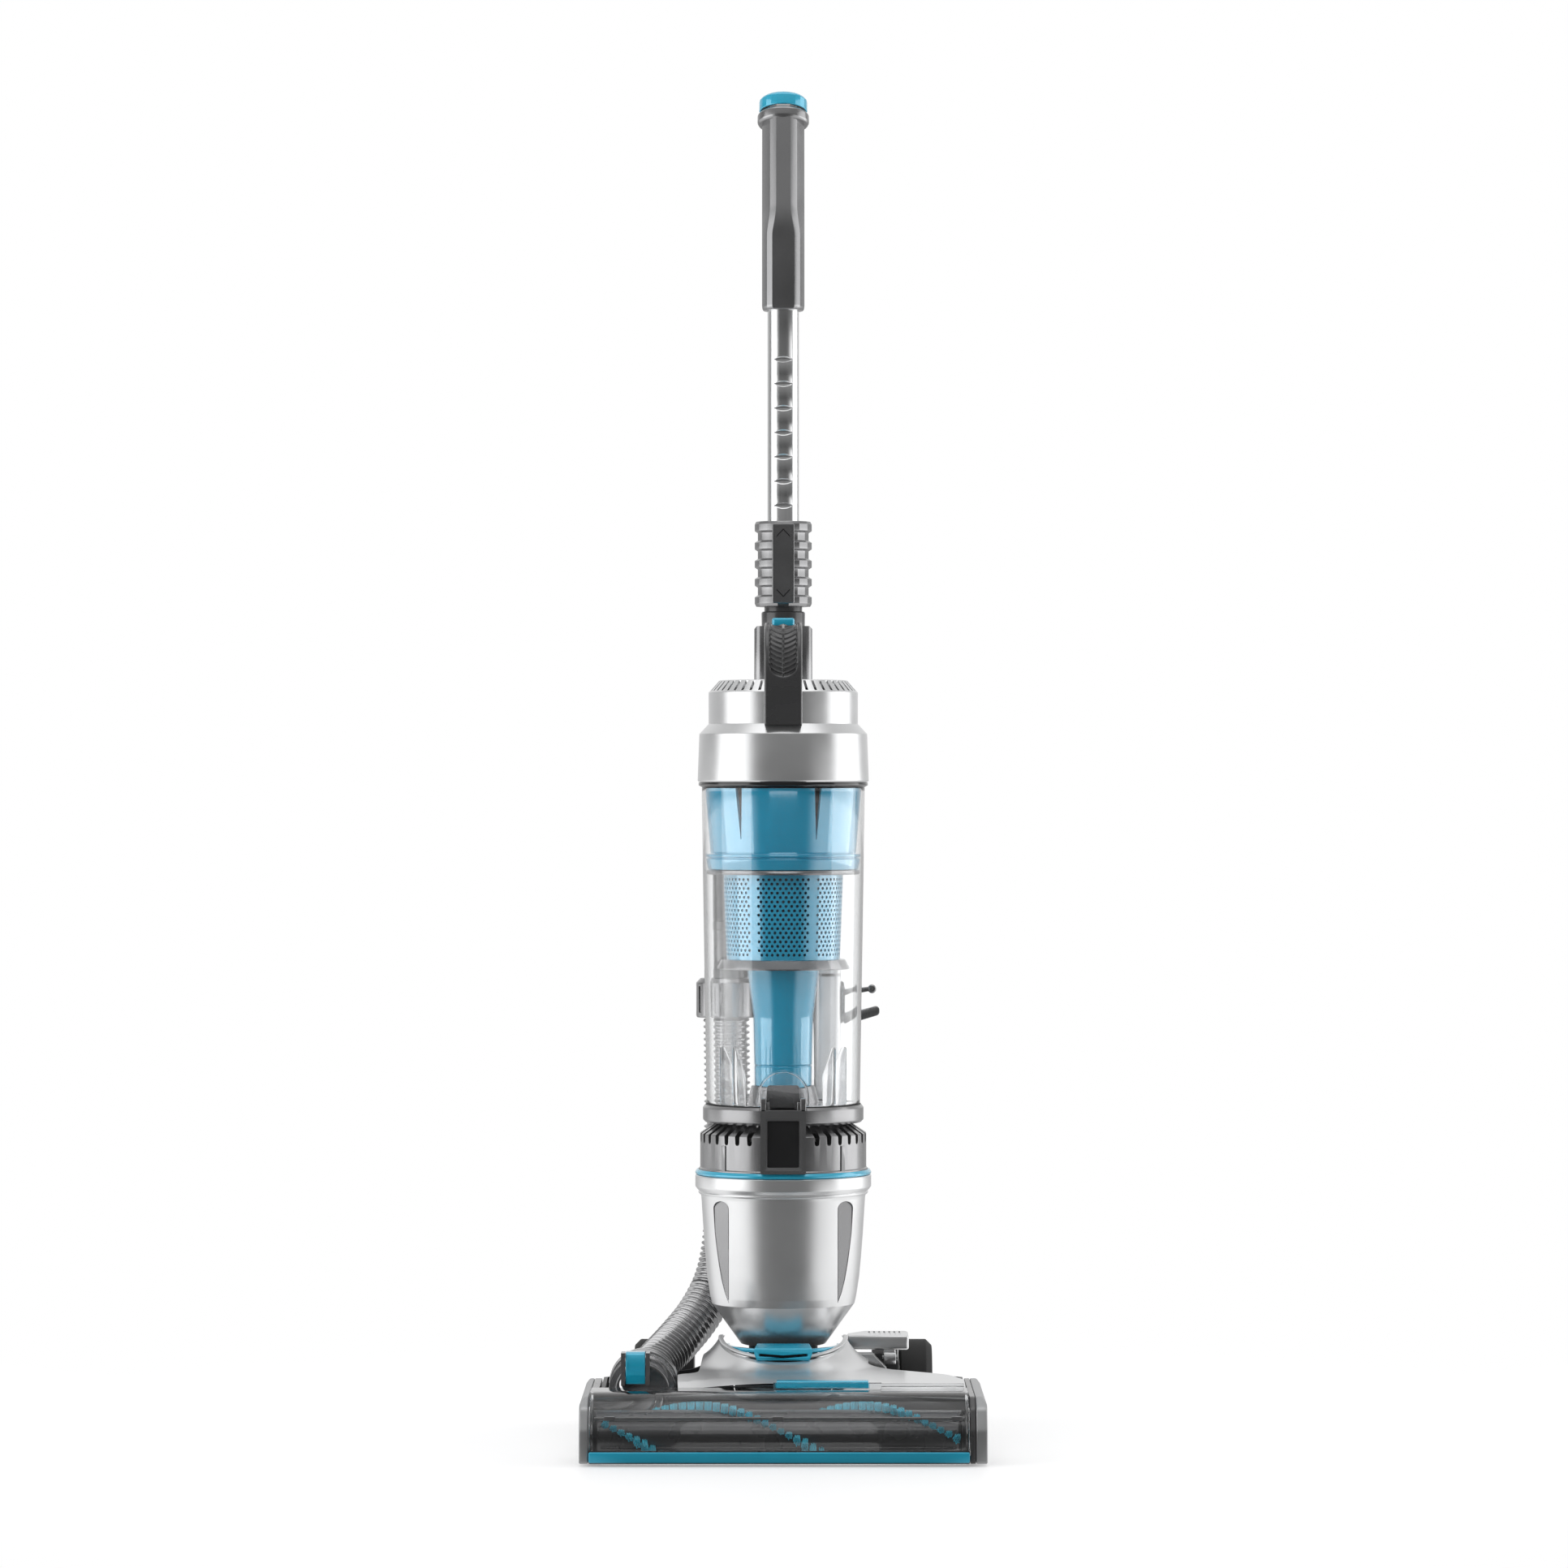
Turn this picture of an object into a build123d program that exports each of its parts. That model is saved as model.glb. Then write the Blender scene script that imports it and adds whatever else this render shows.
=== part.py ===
from build123d import *
import math
import os

# Upright vacuum cleaner, millimetres, +Z up, the cleaning head's front at -Y.
# Everything is laid out about the upright's own axis (x = 0, y = 0) and is moved
# by AXIS_Y when it is written, so that the origin is the centre of the footprint.

# Fits and walls
RUN = 0.05          # radial clearance of a running fit
GAP = 0.4           # clearance between pieces that pass each other
WALL = 3.0          # moulded wall

# Cleaning head
HEAD_HALF = 154.0
HEAD_FRONT = -186.0
CAP_INNER = 141.0
LEFT_WALL = 147.0     # inner face of the thinner left end wall, in front
SOLE_Z = 2.0
BASE_Z = 6.0
COVER_FRONT = -116.0
COVER_REAR = 12.0
BASE_REAR = -20.0
BRUSH_Y = -145.0
BRUSH_Z = 23.0
BRUSH_TIP_R = 22.5
BRUSH_CORE_R = 16.0
BRUSH_PITCH = 240.0
BRUSH_PHASE = 88.0
MOTOR_Y = -76.0
MOTOR_Z = 27.0
WINDOW_TOP = 53.0
WHEEL_R = 34.5
WHEEL_Y = 94.5
WHEEL_IN = 92.5
WHEEL_OUT = 119.0
ROLLER_R = 8.0
ROLLER_X = 98.0
ROLLER_Y = -100.0
SOCKET_X = -108.0
SOCKET_Z = 49.0
CLIP_Y = -115.5
CLIP_Z = 59.0
PEDAL_Y = 20.0
PEDAL_Z = 62.0

# Upright
PIVOT_Z = 48.0
EAR_IN = 39.0
EAR_OUT = 48.0
POST_R = 15.0
BUCKET_BOTTOM = 75.0
BUCKET_TOP = 208.0
COLLAR_R = 65.0
COLLAR_FOOT = 204.7
COLLAR_SLOTS = 38
COLLAR_BRIDGE = 18.0  # degrees without slots on each side of front and back
COLLAR_STEP = 213.0
TRIM_R = 66.3
TRIM_TOP = BUCKET_TOP + 4.2
SEAT_Z = 249.0
BIN_BOTTOM = 263.0
BIN_TOP = 511.5
BIN_R_LOW = 60.2
BIN_R_HIGH = 64.0
LID_TOP = 595.5
SPINE_Y = 92.0
SPINE_TOP = 596.0
HEAD_TOP = 640.0
HANDLE_TOP = 640.0
HANDLE_HALF = 14.5
HOOK_Z = 624.0

# Telescopic handle
TUBE_R = 12.65
OUTER_TUBE_R = 15.0
COLLAR_LOW = 656.0
COLLAR_HIGH = 724.0
GRIP_LOW = 893.0
GRIP_BEND = 965.0
GRIP_LEAN = 15.0
GRIP_LENGTH = 93.0

# Hose, from the cuff on the spine down to the socket in the head
HOSE_R = 18.0
HOSE_BORE = 14.5
HOSE_POINTS = [
    (-46.0, 80.0, 328.0),
    (-45.0, 81.5, 280.0),
    (-45.5, 80.0, 225.0),
    (-44.5, 79.0, 170.0),
    (-50.0, 69.0, 124.0),
    (-65.0, 52.0, 94.0),
    (-84.0, 32.0, 73.0),
    (-99.0, 9.0, 59.0),
    (-107.0, -16.0, 51.5),
    (-108.0, -41.0, 49.0),
]

AXIS_Y = -(HEAD_FRONT + WHEEL_Y + WHEEL_R) / 2


def write(name, shape):
    """Write one sub-part, moved so that the footprint's centre is the origin."""
    export_step(Pos(0, AXIS_Y, 0) * shape, "parts/" + name + ".step")


def block(x0, x1, y0, y1, z0, z1):
    """A box from its lowest to its highest corner."""
    centre = Pos((x0 + x1) / 2, (y0 + y1) / 2, (z0 + z1) / 2)
    return centre * Box(x1 - x0, y1 - y0, z1 - z0)


def drum(radius, z0, z1, x=0.0, y=0.0):
    """An upright cylinder."""
    return Pos(x, y, (z0 + z1) / 2) * Cylinder(radius, z1 - z0)


def drum_x(radius, x0, x1, y, z):
    """A cylinder that lies along X."""
    return Pos((x0 + x1) / 2, y, z) * Rot(0, 90, 0) * Cylinder(radius, x1 - x0)


def drum_y(radius, y0, y1, x, z):
    """A cylinder that lies along Y."""
    return Pos(x, (y0 + y1) / 2, z) * Rot(90, 0, 0) * Cylinder(radius, y1 - y0)


def turned(points):
    """A solid turned about the upright's axis from (radius, height) points."""
    loop = Polyline(*[(r, 0, z) for r, z in points], close=True)
    return revolve(make_face(loop), Axis.Z, 360)


def side_plate(points, x0, x1):
    """A prism along X from (y, z) points."""
    loop = Polyline(*[(x0, y, z) for y, z in points], close=True)
    return extrude(make_face(loop), amount=x1 - x0, dir=(1, 0, 0))


def column(width, depth, corner, z0, z1, x=0.0, y=0.0):
    """An upright prism with rounded corners."""
    outline = RectangleRounded(width, depth, corner)
    return extrude(Pos(x, y, z0) * outline, amount=z1 - z0)


def both_sides(shape):
    """A shape with its mirror image across x = 0."""
    return shape + mirror(shape, Plane.YZ)


# ---------------------------------------------------------------- cleaning head

def bell(drop):
    """The head's crown, turned about the axis: high and steep at the neck, then a long gentle slope."""
    shoulder = (81.0, 0, 59.4 - drop)
    foot = (190.0, 0, 49.6 - drop)
    rim = (50.0 - drop, 0, 80.0)
    slope = Line(foot, shoulder)
    curve = TangentArc(shoulder, rim, tangent=(shoulder[0] - foot[0], 0, shoulder[2] - foot[2]))
    skirt = Polyline(rim, (rim[0], 0, -1), (foot[0], 0, -1), foot)
    return revolve(make_face([slope, curve, skirt]), Axis.Z, 360)


def head_plan():
    """What the cover spans: full width in front, with room behind for hose, pedal and the reclined body."""
    plan = block(-134, CAP_INNER - 1, COVER_FRONT, BASE_REAR, 0, 120)
    plan += block(-62, 132, BASE_REAR, COVER_REAR, 0, 120)
    plan -= block(-CAP_INNER, -66, -64, COVER_REAR + 1, 0, 121)
    return plan


def rim_plane():
    """Everything above the tilted rim of the neck opening, which is lowest in front."""
    tilt = math.degrees(math.atan2(12.0, 50.0))
    return Pos(0, 0, 80) * Rot(tilt, 0, 0) * Pos(0, 0, 60) * Box(400, 400, 120)


def make_head_cover():
    shell = (bell(0) - bell(WALL)) & head_plan()
    shell -= rim_plane()
    shell -= drum_y(27.0 + GAP, -120, -60, SOCKET_X, SOCKET_Z)
    shell -= block(48.5, 66, -8, COVER_REAR + 1, 40, 120)
    return shell


def make_sole_plate():
    plate = block(-CAP_INNER + 1, CAP_INNER - 1, -183, BASE_REAR, SOLE_Z, BASE_Z)
    mouth = block(-139, 139, -173, -113, 0, 10)
    pockets = both_sides(block(ROLLER_X - 9, ROLLER_X + 9, ROLLER_Y - 10, ROLLER_Y + 10, 0, 10))
    return plate - mouth - pockets


def make_head_base():
    """Tray behind the brush, the ears of the recline hinge and the two wheel arms."""
    outer = block(-CAP_INNER + 1, CAP_INNER - 1, -112, BASE_REAR, BASE_Z, 70)
    inner = block(-CAP_INNER + 4, CAP_INNER - 4, -109, BASE_REAR - WALL, BASE_Z + WALL, 90)
    tray = (outer - inner) & bell(WALL + GAP)
    tray += block(-92, 92, BASE_REAR, 18, BASE_Z, 14)
    tray -= block(-56, 56, -3, 19, 12, 90)
    ear = side_plate([(-16, 10), (-16, 48), (-11, 59), (11, 59), (16, 48), (16, 10)], EAR_IN, EAR_OUT)
    tray += both_sides(ear)
    arm_outline = [(-20, 6), (-20, 30), (30, 42), (62, 64), (104, 64), (112, 56), (112, 20), (70, 12), (20, 6)]
    tray += both_sides(side_plate(arm_outline, 71, 91))
    tray += block(72, 78, 12, 27, 30, 65.3)
    cuff = drum_y(27.0 + GAP, -120, -12, SOCKET_X, SOCKET_Z)
    rollers = both_sides(block(ROLLER_X - 9, ROLLER_X + 9, ROLLER_Y - 10, ROLLER_Y + 10, 0, 18))
    tray -= cuff + rollers
    tray -= both_sides(drum_x(5.0, EAR_IN - 1, EAR_OUT + 1, 0, PIVOT_Z))
    tray -= both_sides(drum_x(5.0, 70, 92, WHEEL_Y, WHEEL_R))
    tray -= drum_x(2.5, 71, 79, PEDAL_Y, PEDAL_Z)
    return tray - block(129, 138, -113, -108, 10, 45)


def end_cap(side):
    """One end of the brush chamber: a rounded side wall with a bevelled outer edge."""
    x0, x1 = sorted((side * CAP_INNER, side * HEAD_HALF))
    outline = [(-184, SOLE_Z), (-184, 26), (-176, 42), (-160, 50.5), (-24, 50.5), (-14, 40), (-14, SOLE_Z)]
    cap = side_plate(outline, x0, x1)
    outer_top = cap.edges().filter_by(Axis.Y).group_by(Axis.Z)[-1]
    outer_top = outer_top.sort_by(Axis.X)[-1 if side > 0 else 0]
    cap = chamfer(outer_top, 6.0)
    recess = [(-181, 5), (-181, 25), (-174, 39), (-159, 47.5), (-100, 47.5), (-100, 5)]
    pocket_in = side * CAP_INNER - side
    pocket_out = side * (CAP_INNER + 4)
    cap -= side_plate(recess, *sorted((pocket_in, pocket_out)))
    if side < 0:
        cap -= block(-LEFT_WALL, -CAP_INNER, HEAD_FRONT, -183.2, 0, 12)
        cap -= block(-LEFT_WALL, -CAP_INNER, HEAD_FRONT, -117, 11.6, WINDOW_TOP)
    return cap - drum_x(7.0, *sorted((side * 144, side * 150)), BRUSH_Y, BRUSH_Z)


def make_brush_bearings():
    ring = drum_x(7.0, 145.0, 150.0, BRUSH_Y, BRUSH_Z) - drum_x(4.0 + RUN, 144, 151, BRUSH_Y, BRUSH_Z)
    return both_sides(ring)


def make_bumper():
    strip = block(0.5 - LEFT_WALL, CAP_INNER - 0.5, HEAD_FRONT, -183.4, 3, 11)
    return chamfer(strip.edges().filter_by(Axis.X).group_by(Axis.Y)[0], 0.8)


def window_curve(inset):
    """The brush window's section: flat on top, then a quarter round down to the bumper."""
    bend = 32.0 - inset
    top = WINDOW_TOP - inset
    front = -185.0 + inset
    centre = (front + bend, top - bend)
    flat = Line((-121, top), (centre[0], top))
    nose = CenterArc(centre, bend, 90, 90)
    drop = Line((front, centre[1]), (front, 12))
    return flat, nose, drop


def make_window():
    outer = window_curve(0)
    inner = window_curve(2.2)
    rear = Line(outer[0] @ 0, inner[0] @ 0)
    foot = Line(outer[2] @ 1, inner[2] @ 1)
    section = make_face([*outer, foot, *inner, rear])
    shell = extrude(Plane.YZ.offset(0.6 - LEFT_WALL) * section, amount=LEFT_WALL + CAP_INNER - 1.2)
    return shell + block(74, 138, -121.5, -118.5, 50.8, 56)


def make_latch():
    bar = block(-5, 65, -127, -118.5, WINDOW_TOP + 0.1, 59)
    return chamfer(bar.edges().filter_by(Axis.X).group_by(Axis.Z)[-1], 1.5)


def make_brush_core():
    core = drum_x(BRUSH_CORE_R, -138, 130, BRUSH_Y, BRUSH_Z)
    core += drum_x(11.0, 130, 139, BRUSH_Y, BRUSH_Z)
    return core + drum_x(4.0, -149, 149, BRUSH_Y, BRUSH_Z)


def make_tufts():
    """Two helical rows of bristle tufts, half a turn apart."""
    length = BRUSH_TIP_R - BRUSH_CORE_R
    tuft = Pos(0, 0, BRUSH_CORE_R + length / 2) * Cylinder(2.2, length)
    tufts = []
    for row in range(2):
        for number in range(23):
            x = -131 + number * 11.6
            turn = 360 * x / BRUSH_PITCH + BRUSH_PHASE + 180 * row
            tufts.append(Pos(x, BRUSH_Y, BRUSH_Z) * Rot(turn, 0, 0) * tuft)
    return Compound(tufts)


def make_brush_motor():
    motor = drum_x(17.0, 52, 124, MOTOR_Y, MOTOR_Z)
    mount = block(60, 116, MOTOR_Y - 14, MOTOR_Y + 14, BASE_Z + WALL, 16)
    return motor + mount - drum_x(2.5 + RUN, 110, 125, MOTOR_Y, MOTOR_Z)


def make_motor_pulley():
    return drum_x(2.5, 112, 132, MOTOR_Y, MOTOR_Z) + drum_x(6.0, 130.5, 137, MOTOR_Y, MOTOR_Z)


def belt_outline(extra):
    """The loop round both pulleys, as a face."""
    small = Pos(MOTOR_Y, MOTOR_Z) * Circle(6.0 + extra)
    large = Pos(BRUSH_Y, BRUSH_Z) * Circle(11.0 + extra)
    return make_hull((small + large).edges())


def make_drive_belt():
    ring = belt_outline(1.8) - belt_outline(0.3)
    return extrude(Plane.YZ.offset(131) * ring, amount=5)


def make_suction_duct():
    """From the brush chamber's rear wall to the hose socket, along the tray's left half."""
    return block(-128, -40, -108.5, -96, 18.6, 21.4)


def make_axle_pins():
    """Steel pins fixed in the head: wheel axles, roller pins, recline pins and the pedal pin."""
    pins = both_sides(drum_x(5.0, 71, WHEEL_OUT - 2, WHEEL_Y, WHEEL_R))
    pins += both_sides(drum_x(2.0, ROLLER_X - 9, ROLLER_X + 9, ROLLER_Y, ROLLER_R))
    pins += both_sides(drum_x(5.0, 28, EAR_OUT, 0, PIVOT_Z))
    pins += drum_x(2.5, 72, 90, PEDAL_Y, PEDAL_Z)
    return pins


def make_wheel(side):
    x0, x1 = sorted((side * WHEEL_IN, side * WHEEL_OUT))
    wheel = drum_x(WHEEL_R, x0, x1, WHEEL_Y, WHEEL_R)
    rims = wheel.edges().filter_by(GeomType.CIRCLE).sort_by(Axis.X)
    outer, inner = (-1, 0) if side > 0 else (0, -1)
    wheel = chamfer(rims[outer], 5.0)
    rims = wheel.edges().filter_by(GeomType.CIRCLE).sort_by(Axis.X)
    wheel = chamfer(rims[inner], 1.5)
    return wheel - drum_x(5.0 + RUN, x0 - 1, x1 + 1, WHEEL_Y, WHEEL_R)


def make_roller(side):
    x0, x1 = sorted((side * (ROLLER_X - 7.5), side * (ROLLER_X + 7.5)))
    roller = drum_x(ROLLER_R, x0, x1, ROLLER_Y, ROLLER_R)
    return roller - drum_x(2.0 + RUN, x0 - 1, x1 + 1, ROLLER_Y, ROLLER_R)


def make_pedal():
    """Foot pedal behind the cover: a bevelled bar on a barrel, its inner rear corner cut back."""
    bar = block(50.5, 99, 16, 56, 68, 79.5)
    bar = fillet(bar.edges().filter_by(Axis.X).group_by(Axis.Z)[-1], 4.0)
    bar = chamfer(bar.edges().filter_by(Axis.Z), 1.0)
    corner = extrude(Pos(0, 0, 60) * make_face(Polyline((48, 34), (64, 60), (48, 60), close=True)), amount=30)
    bar -= corner
    bar += drum_x(5.5, 79, 89, PEDAL_Y, PEDAL_Z) + block(79, 89, 16, 30, 62, 69)
    return bar - drum_x(2.5 + RUN, 70, 92, PEDAL_Y, PEDAL_Z)


def make_neck_trim():
    """Coloured collar inside the front of the cover's rim, with a slotted nose."""
    ring = drum(46.3, 64, 70) - drum(42.0, 60, 80)
    ring &= block(-60, 60, -60, 4, 0, 100)
    over_lip = [(-57, 67.3), (-54, 76), (-42, 77.5), (-42, 62), (-46.4, 62), (-46.4, 69.5)]
    nose = side_plate(over_lip, -21, 21)
    nose = nose - drum(42.0, 50, 90)
    slot = block(-17, 17, -60, -52, 70, 72)
    return ring + nose - slot


# -------------------------------------------------------------------- hose line

def make_hose():
    """The hose's path is straight runs joined by tangent arcs."""
    radii = []
    for before, here, after in zip(HOSE_POINTS, HOSE_POINTS[1:], HOSE_POINTS[2:]):
        back = Vector(before) - Vector(here)
        ahead = Vector(after) - Vector(here)
        turn = 180 - back.get_angle(ahead)
        radii.append(0.45 * min(back.length, ahead.length) / math.tan(math.radians(turn / 2)))
    print("hose radii", [round(r) for r in radii])
    path = FilletPolyline(*HOSE_POINTS, radius=radii)
    ring = Circle(HOSE_R) - Circle(HOSE_BORE)
    tube = sweep(Plane(origin=path @ 0, z_dir=path % 0) * ring, path=path)
    expected = math.pi * (HOSE_R**2 - HOSE_BORE**2) * path.length
    print("hose length", round(path.length, 1), "volume ratio", round(tube.volume / expected, 4))
    return tube


def make_hose_socket():
    tube = drum_y(26.0, -110, -68, SOCKET_X, SOCKET_Z) - drum_y(21.0, -111, -67, SOCKET_X, SOCKET_Z)
    return tube - block(-142, -66, -112, -60, 0, 21)


def make_hose_cuff_lower():
    """The hose's end cuff in the head."""
    end = HOSE_POINTS[-1][1]
    cuff = drum_y(27.0, -67.5, end - 4, SOCKET_X, SOCKET_Z) + drum_y(23.5, end - 4, end + 11, SOCKET_X, SOCKET_Z)
    return cuff - drum_y(20.0, -69, end + 12, SOCKET_X, SOCKET_Z)


def make_clip_cheeks():
    """Saddle on the socket's mouth with two cheeks and the pin that the clip turns on."""
    saddle = drum_y(28.0, -113, -104, SOCKET_X, SOCKET_Z) & block(-124, -102, -113, -104, 60, 80)
    cheeks = block(-124, -121, -119, -104, 54, 79) + block(-105, -102, -119, -104, 54, 79)
    saddle -= block(-121, -105, -120, -103, 50, 81)
    pin = drum_x(1.5, -122, -104, CLIP_Y, CLIP_Z)
    return saddle + cheeks - drum_y(26.1, -111, -100, SOCKET_X, SOCKET_Z) + pin


def make_hose_clip():
    """Sprung clip between the cheeks, a curved lever whose lip reaches over the socket."""
    outline = [
        (-117, 55), (-118.8, 62), (-119, 72), (-117, 78), (-113, 79.5),
        (-105, 79.5), (-105, 77), (-111.5, 76.5), (-113, 72), (-112.5, 55),
    ]
    return side_plate(outline, -120.5, -105.5) - drum_x(1.5 + RUN, -124, -102, CLIP_Y, CLIP_Z)


def make_hose_cuff_upper():
    x, y, z = HOSE_POINTS[0]
    cuff = drum(23.5, z - 0.3, z + 31, x, y) - drum(HOSE_BORE, z - 1, z + 32, x, y)
    cuff = chamfer(cuff.edges().filter_by(GeomType.CIRCLE).group_by(Axis.Z)[-1].sort_by(SortBy.RADIUS)[-1], 3.0)
    return cuff - drum(HOSE_R + 0.8, z - 1, z + 1, x, y)


def make_inlet_duct():
    """From the upper cuff up to the changeover box, whose nozzle meets the bin."""
    x, y, z = HOSE_POINTS[0]
    riser = drum(17.0, z + 31.3, 404, x, y) - drum(13.5, z + 30, 405, x, y)
    box = column(36, 34, 5, 404, 446, x + 2, y + 4)
    box -= column(30, 28, 3, 400, 440, x + 2, y + 4)
    link = block(-32, -19, 82, 98, 410, 440)
    hollow = block(-34, -30, 85, 95, 412, 438)
    spout = Pos(-37, 66, 425) * Rot(0, 0, 29) * Box(18, 9, 24)
    return (riser + box + link + spout - hollow) - drum(66.5, 380, 460)


# ------------------------------------------------------------------ motor part

def make_neck():
    """Trunnion on the recline pins, with the post that the upright swivels on."""
    hub = drum_x(16.0, -38, 38, 0, PIVOT_Z) - drum_x(5.0 + RUN, -39, 39, 0, PIVOT_Z)
    hub += drum(27.0, PIVOT_Z, BUCKET_BOTTOM - 0.5)
    hub -= drum_x(5.0 + RUN, -39, 39, 0, PIVOT_Z)
    hub -= both_sides(block(38, 60, -30, 30, 30, 66))
    return hub + drum(POST_R, BUCKET_BOTTOM - 1, 100)


BUCKET_OUTLINE = [
    (33, BUCKET_BOTTOM),
    (56, 107),
    (57.3, 113),
    (59.6, 128),
    (61, 143),
    (62.4, 161),
    (64.3, 191),
    (65.6, 194.6),
    (67.6, 196.8),
    (69, 198.6),
    (69, BUCKET_TOP),
]


def louvre(side):
    """A recess in the bucket's side: round on top, running to a point at the bottom inner edge."""
    face = make_face(
        Polyline((-8, 182), (8, 182), (8, 118), (8 - 16 * (side > 0), 109), (-8, 118), close=True)
    )
    face += Pos(0, 182) * Circle(8)
    panel = extrude(Plane.XZ * face, amount=80)
    inner = turned([(0, 60), (46, 60), (53.5, 107), (57, 128), (60, 161), (62, 192), (0, 192)])
    return Rot(0, 0, side * 49) * panel - inner


def make_motor_housing():
    inner = [(66.2, BUCKET_TOP), (66.2, COLLAR_FOOT - 0.2), (61, 190), (53, 108), (32, 79)]
    loop = BUCKET_OUTLINE + inner + [(20, 79), (20, 99), (POST_R + RUN, 99), (POST_R + RUN, BUCKET_BOTTOM)]
    shell = turned(loop)
    return shell - louvre(1) - louvre(-1)


def make_suction_motor():
    body = turned([(0, 104), (30, 104), (44, 116), (44, 176), (38, 184), (0, 184)])
    return body - drum(4 + RUN, 150, 185)


def make_motor_mounts():
    lower = drum(50.0, 126, 134) - drum(44.0, 120, 140)
    upper = drum(55.0, 162, 170) - drum(44.0, 160, 175)
    return lower + upper


def make_fan():
    hub = drum(4.0, 152, 188) + turned([(4, 186), (40, 186), (40, 188), (14, 198), (4, 198)])
    blades = []
    for number in range(9):
        blades.append(Rot(0, 0, 40 * number) * Pos(25, 0, 191) * Rot(0, 0, 35) * Box(22, 1.6, 9))
    for blade in blades:
        hub += blade & drum(40, 186, 198)
    return hub


def make_exhaust_filter():
    """Ring of pleated filter behind the slots of the vent collar."""
    count = 40
    points = []
    for number in range(count):
        angle = 2 * math.pi * number / count
        half = math.pi / count
        points.append((57.5 * math.cos(angle), 57.5 * math.sin(angle)))
        points.append((53.5 * math.cos(angle + half), 53.5 * math.sin(angle + half)))
    pleats = extrude(Pos(0, 0, 213) * make_face(Polyline(*points, close=True)), amount=26)
    return pleats - drum(49.0, 200, 250)


def make_trim_ring():
    low = BUCKET_TOP + 0.2
    return turned([(TRIM_R, low), (68.2, low), (69, low + 0.8), (69, low + 2), (67.6, TRIM_TOP), (TRIM_R, TRIM_TOP)])


def make_vent_collar():
    """Slotted collar under the bin, with the deck that the bin stands on."""
    skirt_r = TRIM_R - 0.2
    outline = [(skirt_r, COLLAR_FOOT), (skirt_r, COLLAR_STEP), (COLLAR_R, COLLAR_STEP + 0.6)]
    outline += [(COLLAR_R, 240.4), (54, 248), (53, 248.6)]
    inner = [(30, 248.6), (30, 244), (51, 244), (59, 238.4), (59, COLLAR_FOOT)]
    collar = turned(outline + inner)
    slot = block(-2, 2, 50.5, 70, 233.4, 250)
    for number in range(COLLAR_SLOTS):
        angle = 360 / COLLAR_SLOTS * (number + 0.5)
        if min(angle, abs(angle - 180), 360 - angle) > COLLAR_BRIDGE:
            collar -= Rot(0, 0, angle) * slot
    return collar


def make_bin_bracket():
    """Channel on the collar's front whose prongs steady the bin."""
    plate = block(-17.6, 17.6, -72, -60, TRIM_TOP + 0.2, 262)
    plate += both_sides(block(13.2, 17.6, -72, -63.6, 262, 271))
    plate -= drum(COLLAR_R + 0.2, 200, 280) + drum(TRIM_R, 200, COLLAR_STEP + 0.8)
    plate -= block(-12.3, 12.3, -74, -68, 216, 253)
    return fillet(plate.edges().filter_by(Axis.Z).group_by(Axis.Y)[0], 1.5)


# ------------------------------------------------------------------------ spine

def make_spine():
    """Column behind the bin that carries the telescopic tube."""
    post = column(37, 38, 6, 200, SPINE_TOP, 0, SPINE_Y)
    post -= drum(OUTER_TUBE_R + 0.3, 385, SPINE_TOP + 1, 0, SPINE_Y)
    post -= column(31, 32, 4, 204, 380, 0, SPINE_Y)
    foot = block(-18.5, 18.5, 58, 76, COLLAR_STEP + 0.8, 239) - drum(COLLAR_R + 0.1, 200, 250)
    return post + foot


def make_spine_head():
    """Housing at the spine's top, with chamfered shoulders and the seat of the neck tube."""
    head = column(47, 46, 7, SPINE_TOP + 0.1, HEAD_TOP, 0, SPINE_Y)
    top = head.edges().group_by(Axis.Z)[-1]
    head = chamfer(top, 5.0)
    head -= drum(OUTER_TUBE_R, 590, 650, 0, SPINE_Y)
    head -= block(-8.6, 8.6, 111.8, 117, 601.5, 612.5)
    return head - drum_y(2.5, 112.5, 116, 0, HOOK_Z)


def make_outer_tube():
    tube = drum(OUTER_TUBE_R, 386, 720, 0, SPINE_Y) + drum(17.5, HEAD_TOP + 0.1, 652, 0, SPINE_Y)
    return tube - drum(TUBE_R + RUN, 380, 730, 0, SPINE_Y)


def make_height_collar():
    """Ribbed sleeve that frees the telescopic tube when it is slid."""
    height = COLLAR_HIGH - COLLAR_LOW
    rib = height / 9
    points = [(15.4, COLLAR_LOW)]
    for number in range(9):
        low = COLLAR_LOW + number * rib
        radius = 23.25 if number % 2 == 0 else 20.75
        points.append((radius, low + 0.6))
        points.append((radius, low + rib - 0.6))
    points.append((15.4, COLLAR_HIGH))
    sleeve = turned(points)
    pad = block(-10, 10, -23.2, -18, COLLAR_LOW + 3, COLLAR_HIGH - 3)
    sleeve += pad - drum(18, 600, 800)
    return Pos(0, SPINE_Y, 0) * sleeve


def make_tele_tube():
    tube = drum(TUBE_R, 530, 930, 0, SPINE_Y) - drum(TUBE_R - 1.2, 529, 931, 0, SPINE_Y)
    for number in range(7):
        notch = block(-7.5, 7.5, -13.2, -12.2, -2.5, 2.5)
        tube -= Pos(0, SPINE_Y, 736.5 + 19.5 * number) * notch
    return tube


def grip_section(width, depth, bevel):
    half_w, half_d = width / 2, depth / 2
    corners = [
        (half_w - bevel, -half_d), (half_w, bevel - half_d), (half_w, half_d - bevel),
        (half_w - bevel, half_d), (bevel - half_w, half_d), (-half_w, half_d - bevel),
        (-half_w, bevel - half_d), (bevel - half_w, -half_d),
    ]
    return make_face(Polyline(*corners, close=True))


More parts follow.
